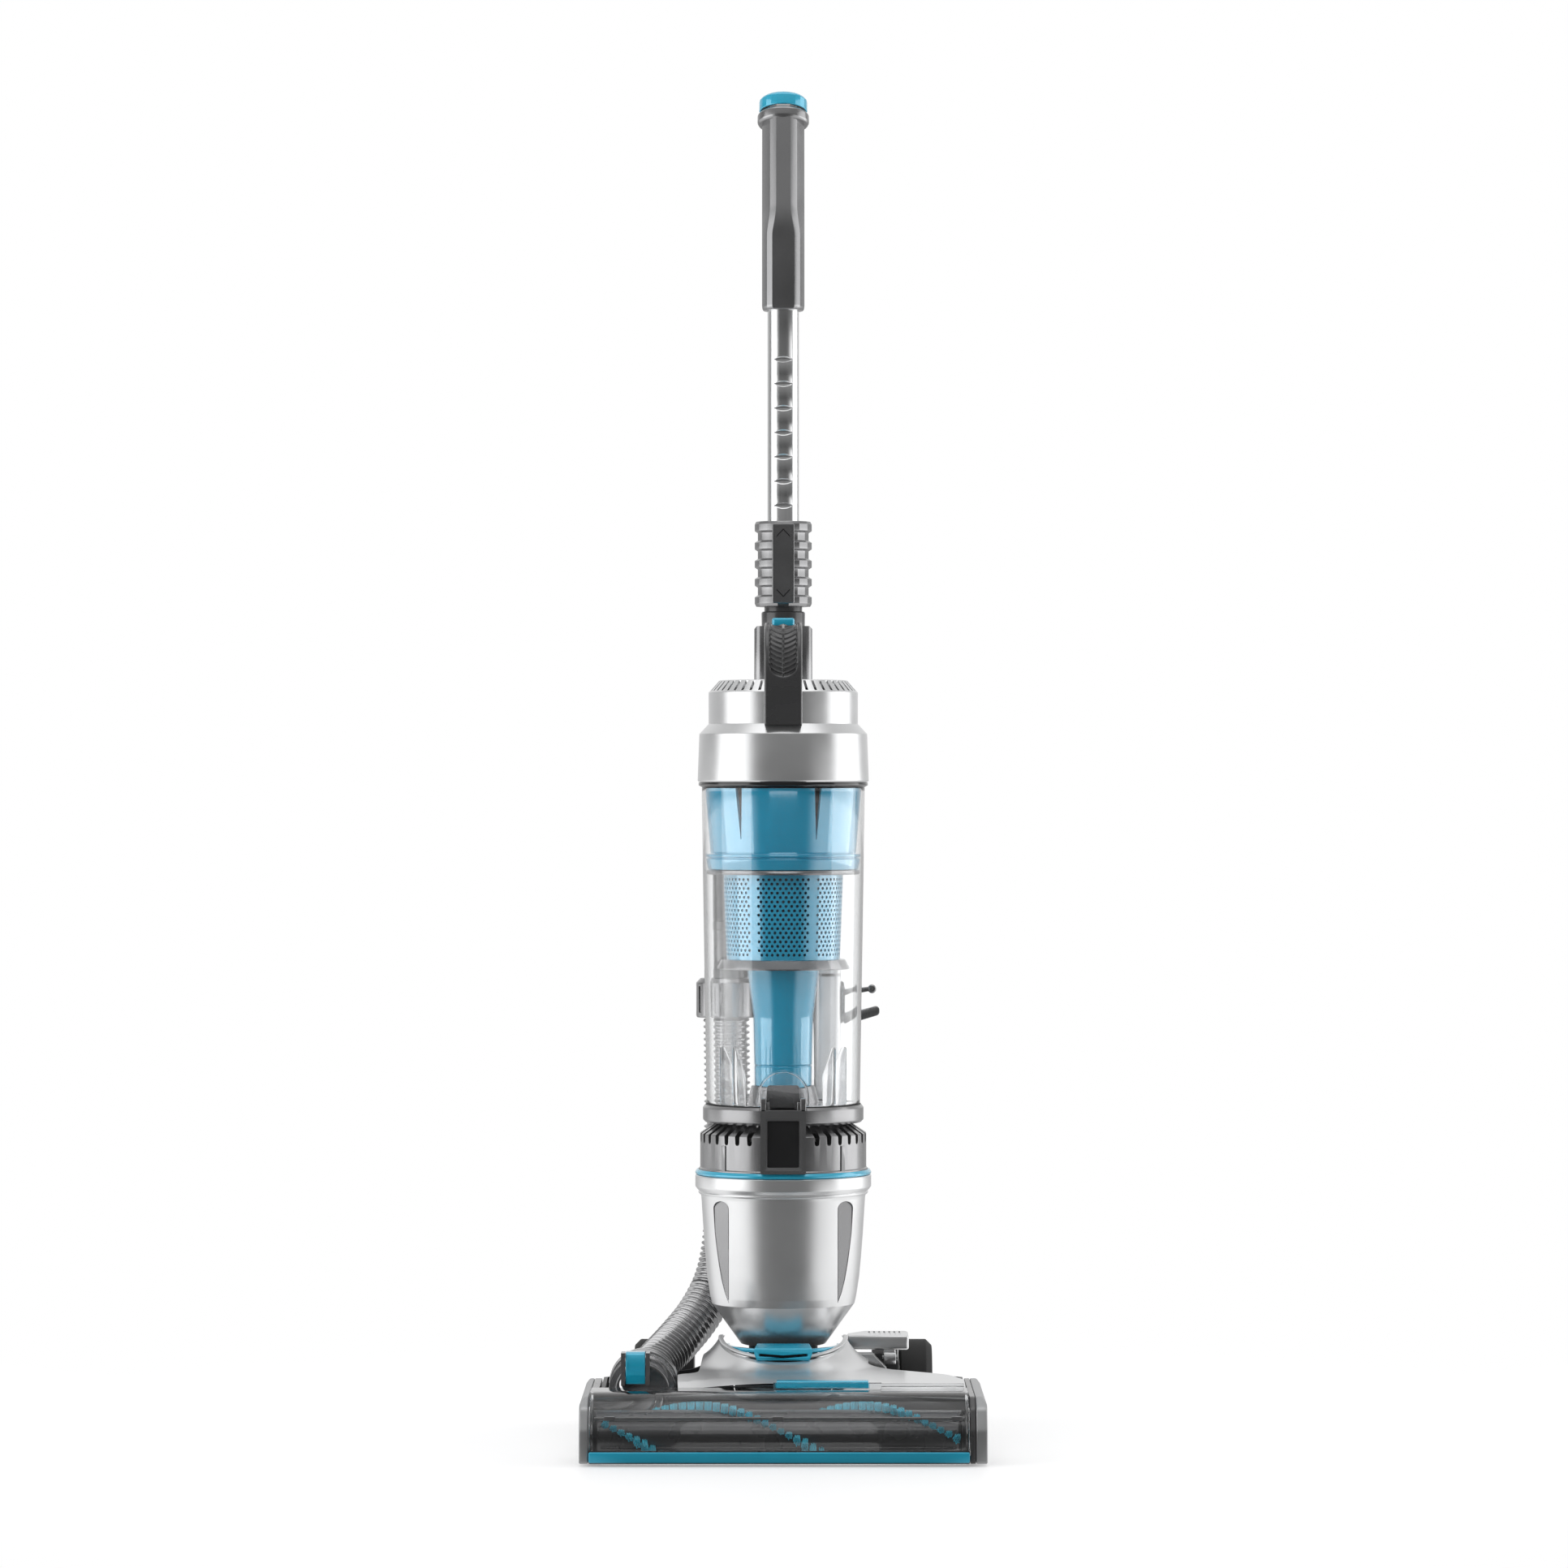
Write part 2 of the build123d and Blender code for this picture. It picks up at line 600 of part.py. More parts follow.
def grip_end():
    """Place at the top of the leaning grip, looking along it."""
    lean = math.radians(GRIP_LEAN)
    y = SPINE_Y + GRIP_LENGTH * math.sin(lean)
    z = GRIP_BEND + GRIP_LENGTH * math.cos(lean)
    return Pos(0, y, z) * Rot(-GRIP_LEAN, 0, 0)


def make_grip():
    """Bevelled hand grip that leans back above its bend."""
    end = grip_end().position
    path = FilletPolyline((0, SPINE_Y, GRIP_LOW), (0, SPINE_Y, GRIP_BEND), tuple(end), radius=90)
    grip = sweep(Pos(0, SPINE_Y, GRIP_LOW) * grip_section(34, 38, 8), path=path)
    flange = grip_end() * Pos(0, 0, -6) * Cylinder(20.75, 11.9)
    return grip + flange - drum(TUBE_R, 880, 930, 0, SPINE_Y)


def make_grip_cap():
    dome = grip_end() * Pos(0, 0, 6) * Cylinder(19.4, 11.8)
    return fillet(dome.edges().filter_by(GeomType.CIRCLE).group_by(Axis.Z)[-1], 3.0)


def make_tool():
    """Crevice tool stored behind the bin on the right, thinner towards its mouth."""
    body = column(24, 20, 5, 262, 372, 37, 86)
    front = side_plate([(75, 261), (79, 261), (76, 320), (75, 320)], 20, 54)
    back = side_plate([(97, 261), (93, 261), (96, 320), (97, 320)], 20, 54)
    body -= front + back
    body -= block(27, 47, 81, 91, 261, 321)
    return body - column(20, 16, 4, 320, 373, 37, 86)


def make_tool_hook():
    """Holder on the spine: a plate behind the tool and two arms beside it that take the cable."""
    arm = block(18.8, 53, 97, 102, 322, 356)
    arm += block(49.6, 53, 80, 102, 326, 352)
    arm += block(53, 60, 84, 96, 346, 352) + drum_y(3.4, 84, 96, 71, 350)
    arm += block(58, 71, 84, 96, 348, 351)
    arm += block(53, 77, 84, 96, 330, 340)
    return arm


def make_cable_hook_upper():
    """Hook that swings down to let the cable's loops drop off."""
    hook = column(18, 4.8, 2, HOOK_Z, 646, 0, 119.4) + drum_y(8, 117, 121.8, 0, HOOK_Z)
    hook += block(-9, 9, 121, 129, 631, 636) + block(-9, 9, 127, 129, 631, 646)
    return hook - drum_y(2.5 + RUN, 115, 123, 0, HOOK_Z)


def make_hook_pin():
    return drum_y(2.5, 112.5, 121, 0, HOOK_Z)


def make_power_switch():
    button = block(-8.2, 8.2, 113.6, 116.6, 602, 612)
    return fillet(button.edges().filter_by(Axis.X).group_by(Axis.Y)[-1], 1.2)


def make_cord_gland():
    ring = drum_y(9.0, 111, 114, 0, 232)
    cone = Pos(0, 119, 232) * Rot(-90, 0, 0) * Cone(7.0, 5.0, 10)
    return ring + cone - drum_y(3.6, 112, 126, 0, 232)


# -------------------------------------------------------------------------- bin

def make_bin_cup():
    wall = [(BIN_R_LOW, BIN_BOTTOM + 0.3), (BIN_R_HIGH, BIN_TOP), (BIN_R_HIGH - 2, BIN_TOP), (BIN_R_LOW - 2, BIN_BOTTOM + 0.3)]
    cup = turned(wall)
    tab = block(-12.5, 12.5, -67.5, -59, 264, 272) + block(-20, 20, -67.5, -59, 272, 284)
    dome = drum_y(20, -67.5, -59, 0, 284) & block(-30, 30, -70, -50, 284, 292.5)
    tab = tab + dome - drum(BIN_R_LOW - 1, 250, 300)
    return cup + tab


def make_bin_door():
    """Hinged floor of the bin with its hinge pin at the back."""
    ring = [(0, SEAT_Z), (62, SEAT_Z), (63, 250.5), (63, 262), (61.5, BIN_BOTTOM), (56, BIN_BOTTOM), (56, 258), (0, 258)]
    door = turned(ring)
    return door + drum_x(2.5, -14, 14, 63.5, 256)


def make_cyclone_top():
    """Coloured cyclone pack: a tapered drum closed by the lip that rests on the cup."""
    outline = [(57, 458.5), (61, 485), (61.6, 511.6), (66.5, 511.7), (66.5, 515.7), (20, 515.7)]
    pack = outline + [(20, 511), (56, 511), (54, 462), (44, 446), (46, 444.5), (59, 446), (60, 452), (59.5, 457)]
    return turned(pack)


def make_shroud():
    mesh = [(47, 443.8), (44.5, 376.5), (52, 370.5), (52, 369.0), (42.8, 375), (45.3, 443.8)]
    return turned(mesh)


def make_cone():
    outer = [(30, 443), (28.3, 367.5), (23.2, 331), (22.5, 278), (28.5, 278), (30, 259), (14, 258.3)]
    return turned(outer + [(14, 300), (20.5, 331), (25.5, 367), (27, 443)])


def make_filter():
    body = drum(47, 516.2, 572) - drum(18, 510, 580)
    groove = drum(48, 0, 2.5) - drum(44.5, -1, 4)
    for number in range(6):
        body -= Pos(0, 0, 522 + 8 * number) * groove
    return body


def make_lid():
    outline = [
        (67.2, 516), (65.9, 554), (58.6, 561), (58.6, 586.6), (50, LID_TOP), (8, LID_TOP),
    ]
    inner = [(8, 591), (48.5, 591), (55.6, 584), (55.6, 560), (62.5, 552), (64, 516)]
    lid = turned(outline + inner)
    slot = block(-0.9, 0.9, 49, 58, 586, 596)
    for number in range(60):
        lid -= Rot(0, 0, 6 * number) * slot
    return lid


def make_bin_handle():
    """Arched carrying handle from the lid's front band over to its rear edge."""
    front = Line((-66, 562), (-66, 600))
    over = CenterArc((-26, 600), 40, 90, 90)
    rear = Polyline((-26, HANDLE_TOP), (54, HANDLE_TOP), (60, 634), (60, 582), (46, 582), (46, 626), (-26, 626))
    under = CenterArc((-26, 600), 26, 90, 90)
    foot = Polyline((-52, 600), (-52, 562), (-66, 562))
    section = make_face([front, over, rear, under, foot])
    arch = extrude(Plane.YZ * section, amount=HANDLE_HALF, both=True)
    envelope = turned([(0, 500), (67.3, 516), (66.0, 554), (58.8, 561), (58.8, 586.7), (50.1, 595.7), (0, 595.7)])
    arch -= envelope
    pocket = block(-9.6, 9.6, 35.6, 55.4, 633, 650)
    return chamfer(arch.edges().filter_by(Axis.Y).group_by(Axis.Z)[-1], 2.0) - pocket


def make_release_button():
    key = block(-9.0, 9.0, 36, 55, 638, 645.5)
    return fillet(key.edges().filter_by(Axis.X).group_by(Axis.Z)[-1], 2.5)


def build_head():
    write("sole_plate", make_sole_plate())
    write("head_base", make_head_base())
    write("head_cover", make_head_cover())
    write("end_cap_left", end_cap(-1))
    write("end_cap_right", end_cap(1))
    write("bumper_strip", make_bumper())
    write("brush_window", make_window())
    write("window_latch", make_latch())
    write("brush_core", make_brush_core())
    write("brush_tufts", make_tufts())
    write("brush_bearings", make_brush_bearings())
    write("brush_motor", make_brush_motor())
    write("motor_pulley", make_motor_pulley())
    write("drive_belt", make_drive_belt())
    write("suction_duct", make_suction_duct())
    write("axle_pins", make_axle_pins())
    write("wheel_left", make_wheel(-1))
    write("wheel_right", make_wheel(1))
    write("roller_left", make_roller(-1))
    write("roller_right", make_roller(1))
    write("release_pedal", make_pedal())
    write("neck_trim", make_neck_trim())
    write("hose_socket", make_hose_socket())
    write("hose_cuff_lower", make_hose_cuff_lower())
    write("clip_cheeks", make_clip_cheeks())
    write("hose_clip", make_hose_clip())
    write("hose", make_hose())


def build_upright():
    write("neck_pivot", make_neck())
    write("motor_housing", make_motor_housing())
    write("suction_motor", make_suction_motor())
    write("motor_mounts", make_motor_mounts())
    write("fan_impeller", make_fan())
    write("exhaust_filter", make_exhaust_filter())
    write("trim_ring", make_trim_ring())
    write("vent_collar", make_vent_collar())
    write("bin_bracket", make_bin_bracket())
    write("spine", make_spine())
    write("spine_head", make_spine_head())
    write("outer_tube", make_outer_tube())
    write("hose_cuff_upper", make_hose_cuff_upper())
    write("inlet_duct", make_inlet_duct())
    write("crevice_tool", make_tool())
    write("tool_hook", make_tool_hook())
    write("cable_hook_upper", make_cable_hook_upper())
    write("hook_pin", make_hook_pin())
    write("power_switch", make_power_switch())
    write("cord_gland", make_cord_gland())


def build_handle():
    write("height_collar", make_height_collar())
    write("tele_tube", make_tele_tube())
    write("grip_shell", make_grip())
    write("grip_cap", make_grip_cap())


def build_bin():
    write("bin_cup", make_bin_cup())
    write("bin_door", make_bin_door())
    write("cyclone_top", make_cyclone_top())
    write("mesh_shroud", make_shroud())
    write("cyclone_cone", make_cone())
    write("pre_motor_filter", make_filter())
    write("bin_lid", make_lid())
    write("bin_handle", make_bin_handle())
    write("release_button", make_release_button())


os.makedirs("parts", exist_ok=True)
build_head()
build_upright()
build_handle()
build_bin()
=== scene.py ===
import math

import bmesh
import bpy
from mathutils import Matrix, Vector


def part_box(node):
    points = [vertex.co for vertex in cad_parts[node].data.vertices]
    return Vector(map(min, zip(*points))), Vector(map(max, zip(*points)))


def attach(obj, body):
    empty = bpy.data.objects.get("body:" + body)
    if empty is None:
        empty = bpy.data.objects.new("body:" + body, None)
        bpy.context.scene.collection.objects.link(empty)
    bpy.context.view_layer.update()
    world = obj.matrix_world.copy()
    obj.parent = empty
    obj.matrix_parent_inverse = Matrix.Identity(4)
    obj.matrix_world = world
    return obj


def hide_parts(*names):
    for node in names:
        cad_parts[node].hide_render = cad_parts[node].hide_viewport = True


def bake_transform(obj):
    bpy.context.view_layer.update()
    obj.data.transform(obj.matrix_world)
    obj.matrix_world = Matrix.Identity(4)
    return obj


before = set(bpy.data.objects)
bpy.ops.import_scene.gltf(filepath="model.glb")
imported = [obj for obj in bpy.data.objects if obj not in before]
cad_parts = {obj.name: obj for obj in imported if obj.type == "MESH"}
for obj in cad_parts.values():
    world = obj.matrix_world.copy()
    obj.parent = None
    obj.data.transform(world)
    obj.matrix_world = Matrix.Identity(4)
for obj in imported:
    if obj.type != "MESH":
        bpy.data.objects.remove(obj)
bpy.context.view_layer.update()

# Shapes are in millimetres about the upright's own axis, which is the trim ring's centre.
MM = 0.001
FINE_STEPS = 240   # faces round a turned piece that shows its whole width
STEPS = 144        # faces round a large turned piece
SMALL_STEPS = 48   # faces round a small one
SHARP = 32.0       # edges that turn more than this many degrees stay sharp
ring_low, ring_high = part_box("trim_ring")
AXIS = Vector(((ring_low.x + ring_high.x) / 2, (ring_low.y + ring_high.y) / 2, 0.0))


def place(x, y, z):
    """A point in millimetres about the axis, as metres in the row frame."""
    return Vector((x, y, z)) * MM + AXIS


def span(node):
    """A CAD node's lowest and highest corners, in millimetres about the axis."""
    low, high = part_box(node)
    return (low - AXIS) / MM, (high - AXIS) / MM


# ------------------------------------------------------------------ mesh helpers

def smooth(piece, sharp=SHARP):
    """Outward normals, and smooth shading that keeps the sharp edges."""
    form = bmesh.new()
    form.from_mesh(piece.data)
    bmesh.ops.remove_doubles(form, verts=form.verts, dist=1e-6)
    bmesh.ops.dissolve_degenerate(form, edges=form.edges, dist=1e-7)
    bmesh.ops.recalc_face_normals(form, faces=form.faces)
    form.to_mesh(piece.data)
    form.free()
    piece.data.shade_smooth()
    piece.data.set_sharp_from_angle(angle=math.radians(sharp))
    return piece


def mesh_object(name, points, faces, sharp=SHARP):
    """A mesh from points in millimetres about the axis."""
    mesh = bpy.data.meshes.new(name)
    mesh.from_pydata([place(*point) for point in points], [], faces)
    piece = bpy.data.objects.new(name, mesh)
    bpy.context.scene.collection.objects.link(piece)
    return smooth(piece, sharp)


def applied(piece):
    """Turn a piece's modifiers into its mesh."""
    graph = bpy.context.evaluated_depsgraph_get()
    shaped = bpy.data.meshes.new_from_object(piece.evaluated_get(graph))
    piece.modifiers.clear()
    piece.data = shaped
    return piece


def bevelled(piece, width, segments=2, angle=30.0, sharp=SHARP):
    """Narrow rounded bevels on the edges that turn more than an angle in degrees."""
    modifier = piece.modifiers.new("bevel", "BEVEL")
    modifier.width = width * MM
    modifier.segments = segments
    modifier.limit_method = "ANGLE"
    modifier.angle_limit = math.radians(angle)
    modifier.harden_normals = False
    applied(piece)
    return smooth(piece, sharp)


def combined(piece, other, operation="DIFFERENCE", sharp=SHARP):
    """Boolean of two closed meshes; the second is used up."""
    modifier = piece.modifiers.new("boolean", "BOOLEAN")
    modifier.operation = operation
    modifier.solver = "EXACT"
    modifier.object = other
    applied(piece)
    bpy.data.objects.remove(other)
    return smooth(piece, sharp)


def joined(piece, *others):
    """One piece from several separate shells."""
    form = bmesh.new()
    for part in (piece, *others):
        form.from_mesh(part.data)
    form.to_mesh(piece.data)
    form.free()
    for part in others:
        bpy.data.objects.remove(part)
    return piece


def around(piece, angles, centre=(0.0, 0.0)):
    """The piece repeated about an upright line, once for each angle in degrees."""
    pivot = place(centre[0], centre[1], 0)
    form = bmesh.new()
    for angle in angles:
        turn = Matrix.Rotation(math.radians(angle), 4, "Z")
        copy = piece.data.copy()
        copy.transform(Matrix.Translation(pivot) @ turn @ Matrix.Translation(-pivot))
        form.from_mesh(copy)
        bpy.data.meshes.remove(copy)
    form.to_mesh(piece.data)
    form.free()
    return piece


def mirrored(piece):
    """The piece together with its mirror image across x = 0."""
    other = piece.copy()
    other.data = piece.data.copy()
    bpy.context.scene.collection.objects.link(other)
    other.data.transform(Matrix.Scale(-1, 4, (1, 0, 0)))
    return smooth(joined(piece, other))


def moved(piece, matrix, about=(0.0, 0.0, 0.0)):
    """The mesh moved by a matrix about a point in millimetres."""
    pivot = place(*about)
    piece.data.transform(Matrix.Translation(pivot) @ matrix @ Matrix.Translation(-pivot))
    piece.data.update()
    return piece


def spun(piece, degrees, axis="Z", about=(0.0, 0.0, 0.0)):
    """The mesh turned about a line through a point in millimetres."""
    return moved(piece, Matrix.Rotation(math.radians(degrees), 4, axis), about)


def rounded(points, radius, parts=4):
    """A closed outline with arcs at its corners; a point's third value is its own radius."""
    outline = []
    count = len(points)
    for number, point in enumerate(points):
        here = Vector(point[:2])
        before = Vector(points[number - 1][:2])
        after = Vector(points[(number + 1) % count][:2])
        size = point[2] if len(point) > 2 else radius
        back = before - here
        ahead = after - here
        if size <= 0 or back.length < 1e-6 or ahead.length < 1e-6:
            outline.append(tuple(here))
            continue
        half = back.angle(ahead, 0.0) / 2
        if half < 0.02 or half > math.pi / 2 - 0.02:
            outline.append(tuple(here))
            continue
        reach = min(size / math.tan(half), 0.48 * back.length, 0.48 * ahead.length)
        size = reach * math.tan(half)
        start = here + back.normalized() * reach
        end = here + ahead.normalized() * reach
        middle = here + (back.normalized() + ahead.normalized()).normalized() * (size / math.sin(half))
        first = math.atan2(start.y - middle.y, start.x - middle.x)
        swing = math.atan2(end.y - middle.y, end.x - middle.x) - first
        swing = (swing + math.pi) % (2 * math.pi) - math.pi
        for step in range(parts + 1):
            turn = first + swing * step / parts
            outline.append((middle.x + size * math.cos(turn), middle.y + size * math.sin(turn)))
    return outline


def arc(centre, radius, start, end, parts=12):
    """Points on an arc, in degrees."""
    points = []
    for step in range(parts + 1):
        turn = math.radians(start + (end - start) * step / parts)
        points.append((centre[0] + radius * math.cos(turn), centre[1] + radius * math.sin(turn)))
    return points


def turned(name, profile, centre=(0.0, 0.0, 0.0), axis="Z", steps=STEPS, sharp=SHARP):
    """A closed (radius, distance) outline turned about a line through the centre."""
    points = []
    faces = []
    count = len(profile)
    for step in range(steps):
        turn = 2 * math.pi * step / steps
        across, up = math.cos(turn), math.sin(turn)
        for radius, along in profile:
            radius = max(radius, 0.0)
            offset = {
                "Z": (radius * across, radius * up, along),
                "X": (along, radius * across, radius * up),
                "Y": (radius * across, along, radius * up),
            }[axis]
            points.append([a + b for a, b in zip(centre, offset)])
        for number in range(count):
            following = (number + 1) % count
            if profile[number][0] <= 0 and profile[following][0] <= 0:
                continue
            here = step * count
            there = (step + 1) % steps * count
            faces.append((here + number, here + following, there + following, there + number))
    return mesh_object(name, points, faces, sharp)


def prism(name, outline, low, high, axis="X", bevel=0.5, segments=2, sharp=SHARP):
    """A closed outline pushed along an axis: (y, z) along X, (x, z) along Y, (x, y) along Z."""
    def at(first, second, along):
        return {"X": (along, first, second), "Y": (first, along, second), "Z": (first, second, along)}[axis]

    count = len(outline)
    points = [at(a, b, low) for a, b in outline] + [at(a, b, high) for a, b in outline]
    faces = [tuple(range(count)), tuple(range(2 * count - 1, count - 1, -1))]
    for number in range(count):
        following = (number + 1) % count
        faces.append((number, number + count, following + count, following))
    piece = mesh_object(name, points, faces, sharp)
    return bevelled(piece, bevel, segments, sharp=sharp) if bevel else piece


def slab(name, low, high, corner=1.0, axis="Z", bevel=0.5, segments=2):
    """A block between two corners, with rounded edges along one axis and bevelled ends."""
    first, second = {"X": (1, 2), "Y": (0, 2), "Z": (0, 1)}[axis]
    along = {"X": 0, "Y": 1, "Z": 2}[axis]
    outline = [
        (low[first], low[second]), (high[first], low[second]),
        (high[first], high[second]), (low[first], high[second]),
    ]
    return prism(name, rounded(outline, corner), low[along], high[along], axis, bevel, segments)


def radial_prism(name, outline, inner, outer):
    """An outline of (sideways, height) points pushed outwards from the axis towards the front."""
    return prism(name, outline, -outer, -inner, "Y", 0)


def ring_faces(levels, count, loop=False):
    """Faces between rings of points laid one after another, with end faces unless the rings close up."""
    faces = []
    for level in range(levels if loop else levels - 1):
        low, high = level * count, (level + 1) % levels * count
        for number in range(count):
            ahead = (number + 1) % count
            faces.append((low + number, low + ahead, high + ahead, high + number))
    if not loop:
        faces.append(tuple(range(count - 1, -1, -1)))
        faces.append(tuple(range((levels - 1) * count, levels * count)))
    return faces


def tube_along(name, line, section, steps=SMALL_STEPS, sharp=SHARP):
    """A round tube along points in metres; section gives its radius in millimetres at a distance."""
    points = []
    travelled = 0.0
    side = None
    for number, here in enumerate(line):
        ahead = line[min(number + 1, len(line) - 1)] - line[max(number - 1, 0)]
        ahead.normalize()
        if number:
            travelled += (here - line[number - 1]).length
        if side is None:
            side = ahead.orthogonal().normalized()
        side = (side - ahead * side.dot(ahead)).normalized()
        other = ahead.cross(side)
        radius = section(travelled / MM) * MM
        for step in range(steps):
            turn = 2 * math.pi * step / steps
            point = here + side * (radius * math.cos(turn)) + other * (radius * math.sin(turn))
            points.append((point - AXIS) / MM)
    return mesh_object(name, points, ring_faces(len(line), steps), sharp)


def dress(piece, look, body, *nodes, slot=None):
    """Give a piece its material and its body, and hide the CAD nodes that it stands for; its slot is not
    used.
    """
    piece.data.materials.clear()
    piece.data.materials.append(look)
    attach(piece, body)
    if nodes:
        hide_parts(*nodes)
    return piece


def repaint(look, *nodes):
    """A better material on CAD nodes whose shape is right."""
    for node in nodes:
        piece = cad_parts[node]
        piece.data.materials.clear()
        piece.data.materials.append(look)


# --------------------------------------------------------------------- materials

def finish(name, colour, roughness, metallic=0.0, coat=0.0, shade=0.06, mottle=45.0, grain=1400.0,
           depth=0.02, wear=0.06, stretch=(1.0, 1.0, 1.0), **sockets):
    """Moulded plastic or metal: slow colour and gloss variation under a fine grain."""
    look = bpy.data.materials.new(name)
    look.use_nodes = True
    nodes, links = look.node_tree.nodes, look.node_tree.links
    shader = nodes["Principled BSDF"]
    shader.inputs["Metallic"].default_value = metallic
    shader.inputs["Coat Weight"].default_value = coat
    shader.inputs["Coat Roughness"].default_value = 0.06
    for socket, value in sockets.items():
        shader.inputs[socket.replace("_", " ")].default_value = value
    where = nodes.new("ShaderNodeTexCoord")
    scale = nodes.new("ShaderNodeMapping")
    scale.inputs["Scale"].default_value = stretch
    links.new(where.outputs["Object"], scale.inputs["Vector"])
    slow = nodes.new("ShaderNodeTexNoise")
    slow.inputs["Scale"].default_value = mottle
    slow.inputs["Detail"].default_value = 3.0
    fine = nodes.new("ShaderNodeTexNoise")
    fine.inputs["Scale"].default_value = grain
    fine.inputs["Detail"].default_value = 2.0
    for noise in (slow, fine):
        links.new(scale.outputs["Vector"], noise.inputs["Vector"])
    tone = nodes.new("ShaderNodeValToRGB")
    low = [channel * (1 - shade) for channel in colour]
    high = [min(1.0, channel * (1 + shade)) for channel in colour]
    tone.color_ramp.elements[0].position = 0.3
    tone.color_ramp.elements[0].color = (*low, 1)
    tone.color_ramp.elements[1].position = 0.7
    tone.color_ramp.elements[1].color = (*high, 1)
    links.new(slow.outputs["Fac"], tone.inputs["Fac"])
    links.new(tone.outputs["Color"], shader.inputs["Base Color"])
    gloss = nodes.new("ShaderNodeMapRange")
    gloss.inputs["From Min"].default_value = 0.3
    gloss.inputs["From Max"].default_value = 0.7
    gloss.inputs["To Min"].default_value = max(0.02, roughness - wear / 2)
    gloss.inputs["To Max"].default_value = roughness + wear / 2
    links.new(slow.outputs["Fac"], gloss.inputs["Value"])
    links.new(gloss.outputs["Result"], shader.inputs["Roughness"])
    bump = nodes.new("ShaderNodeBump")
    bump.inputs["Strength"].default_value = 0.25
    bump.inputs["Distance"].default_value = depth * MM
    links.new(fine.outputs["Fac"], bump.inputs["Height"])
    links.new(bump.outputs["Normal"], shader.inputs["Normal"])
    return look


def see_through(name, tint, colour, roughness=0.03):
    """Clear moulding that lets the lamps through to what is inside."""
    look = finish(name, colour, roughness, shade=0.01, mottle=18.0, grain=260.0, depth=0.004, wear=0.015,
                  Transmission_Weight=1.0, IOR=1.46)
    nodes, links = look.node_tree.nodes, look.node_tree.links
    shader = nodes["Principled BSDF"]
    output = nodes["Material Output"]
    path = nodes.new("ShaderNodeLightPath")
    pass_by = nodes.new("ShaderNodeBsdfTransparent")
    pass_by.inputs["Color"].default_value = (*tint, 1)
    either = nodes.new("ShaderNodeMixShader")
    links.new(path.outputs["Is Shadow Ray"], either.inputs["Fac"])
    links.new(shader.outputs["BSDF"], either.inputs[1])
    links.new(pass_by.outputs["BSDF"], either.inputs[2])
    links.new(either.outputs["Shader"], output.inputs["Surface"])
    return look


SILVER = finish("silver_plastic", (0.74, 0.745, 0.75), 0.3, metallic=0.88, shade=0.02, grain=2600.0,
                wear=0.04)
PALE = finish("pale_plastic", (0.72, 0.725, 0.73), 0.34, metallic=0.45, coat=0.2, shade=0.02)
GUNMETAL = finish("dark_plastic", (0.3, 0.3, 0.305), 0.24, metallic=0.9, coat=0.15, shade=0.03, grain=2200.0)
CHARCOAL = finish("charcoal_plastic", (0.075, 0.075, 0.077), 0.28, metallic=0.5, coat=0.3, shade=0.04)
CAP_GREY = finish("cap_grey", (0.4, 0.405, 0.41), 0.4, metallic=0.8, shade=0.06, grain=700.0, depth=0.05)
BLACK = finish("black_plastic", (0.012, 0.012, 0.013), 0.38, shade=0.12, grain=900.0, depth=0.06)
GLOSS_BLACK = finish("gloss_black", (0.012, 0.012, 0.013), 0.16, coat=0.5, shade=0.12)
TEAL = finish("teal_plastic", (0.010, 0.44, 0.66), 0.22, metallic=0.2, coat=0.8, shade=0.03, Coat_IOR=1.8)
TEAL_PACK = finish("teal_pack", (0.006, 0.33, 0.53), 0.16, metallic=0.15, coat=1.0, shade=0.03, Coat_IOR=2.0)
TEAL_DARK = finish("teal_dark", (0.004, 0.06, 0.085), 0.4, shade=0.1)
CLEAR = see_through("clear_plastic", (0.93, 0.94, 0.95), (0.965, 0.97, 0.975))
ALUMINIUM = finish("brushed_aluminium", (0.86, 0.865, 0.87), 0.2, metallic=1.0, shade=0.03, mottle=60.0,
                   grain=900.0, depth=0.006, stretch=(6.0, 6.0, 0.15), Anisotropic=0.5)
STEEL = finish("steel", (0.56, 0.57, 0.58), 0.22, metallic=1.0, shade=0.06)
HOSE = finish("hose_plastic", (0.42, 0.42, 0.425), 0.18, metallic=0.85, coat=0.3, shade=0.05, mottle=30.0)
RUBBER = finish("rubber", (0.018, 0.018, 0.018), 0.72, shade=0.2, grain=700.0, depth=0.12)
BRISTLE = finish("bristle", (0.006, 0.42, 0.56), 0.5, shade=0.3, mottle=180.0, grain=3200.0, depth=0.1,
                 Sheen_Weight=0.3)
FILTER = finish("filter_paper", (0.62, 0.63, 0.62), 0.9, shade=0.08, mottle=220.0, grain=2400.0, depth=0.25)


# ------------------------------------------------- camera, light, floor and world

# Distances are in metres.
CAMERA_DISTANCE = 4.459
CAMERA_HEIGHT = 0.514
SIDE_STEP = 0.0006        # how far the camera stands to the right of the axis
LENS = 130.4
SENSOR_WIDTH = 36.0
WORLD_FRONT = 0.06        # the world's light from in front, and what is added above and behind
WORLD_ABOVE = 0.6
WORLD_BEHIND = 0.75
FLOOR_RADIUS = 30.0
FLOOR_CORNERS = 64
FLOOR_FADE = (0.3, 0.85)  # where the floor starts to turn white, and where it is white
FLOOR_FRONT = 0.13        # how brightly the floor shows in reflections, in front
FLOOR_BEHIND = 0.5
FLOOR_SIDES = 1.15
SIDE_SHARE = (0.55, 0.85)  # sideways part of a direction where the floor's side begins and is full


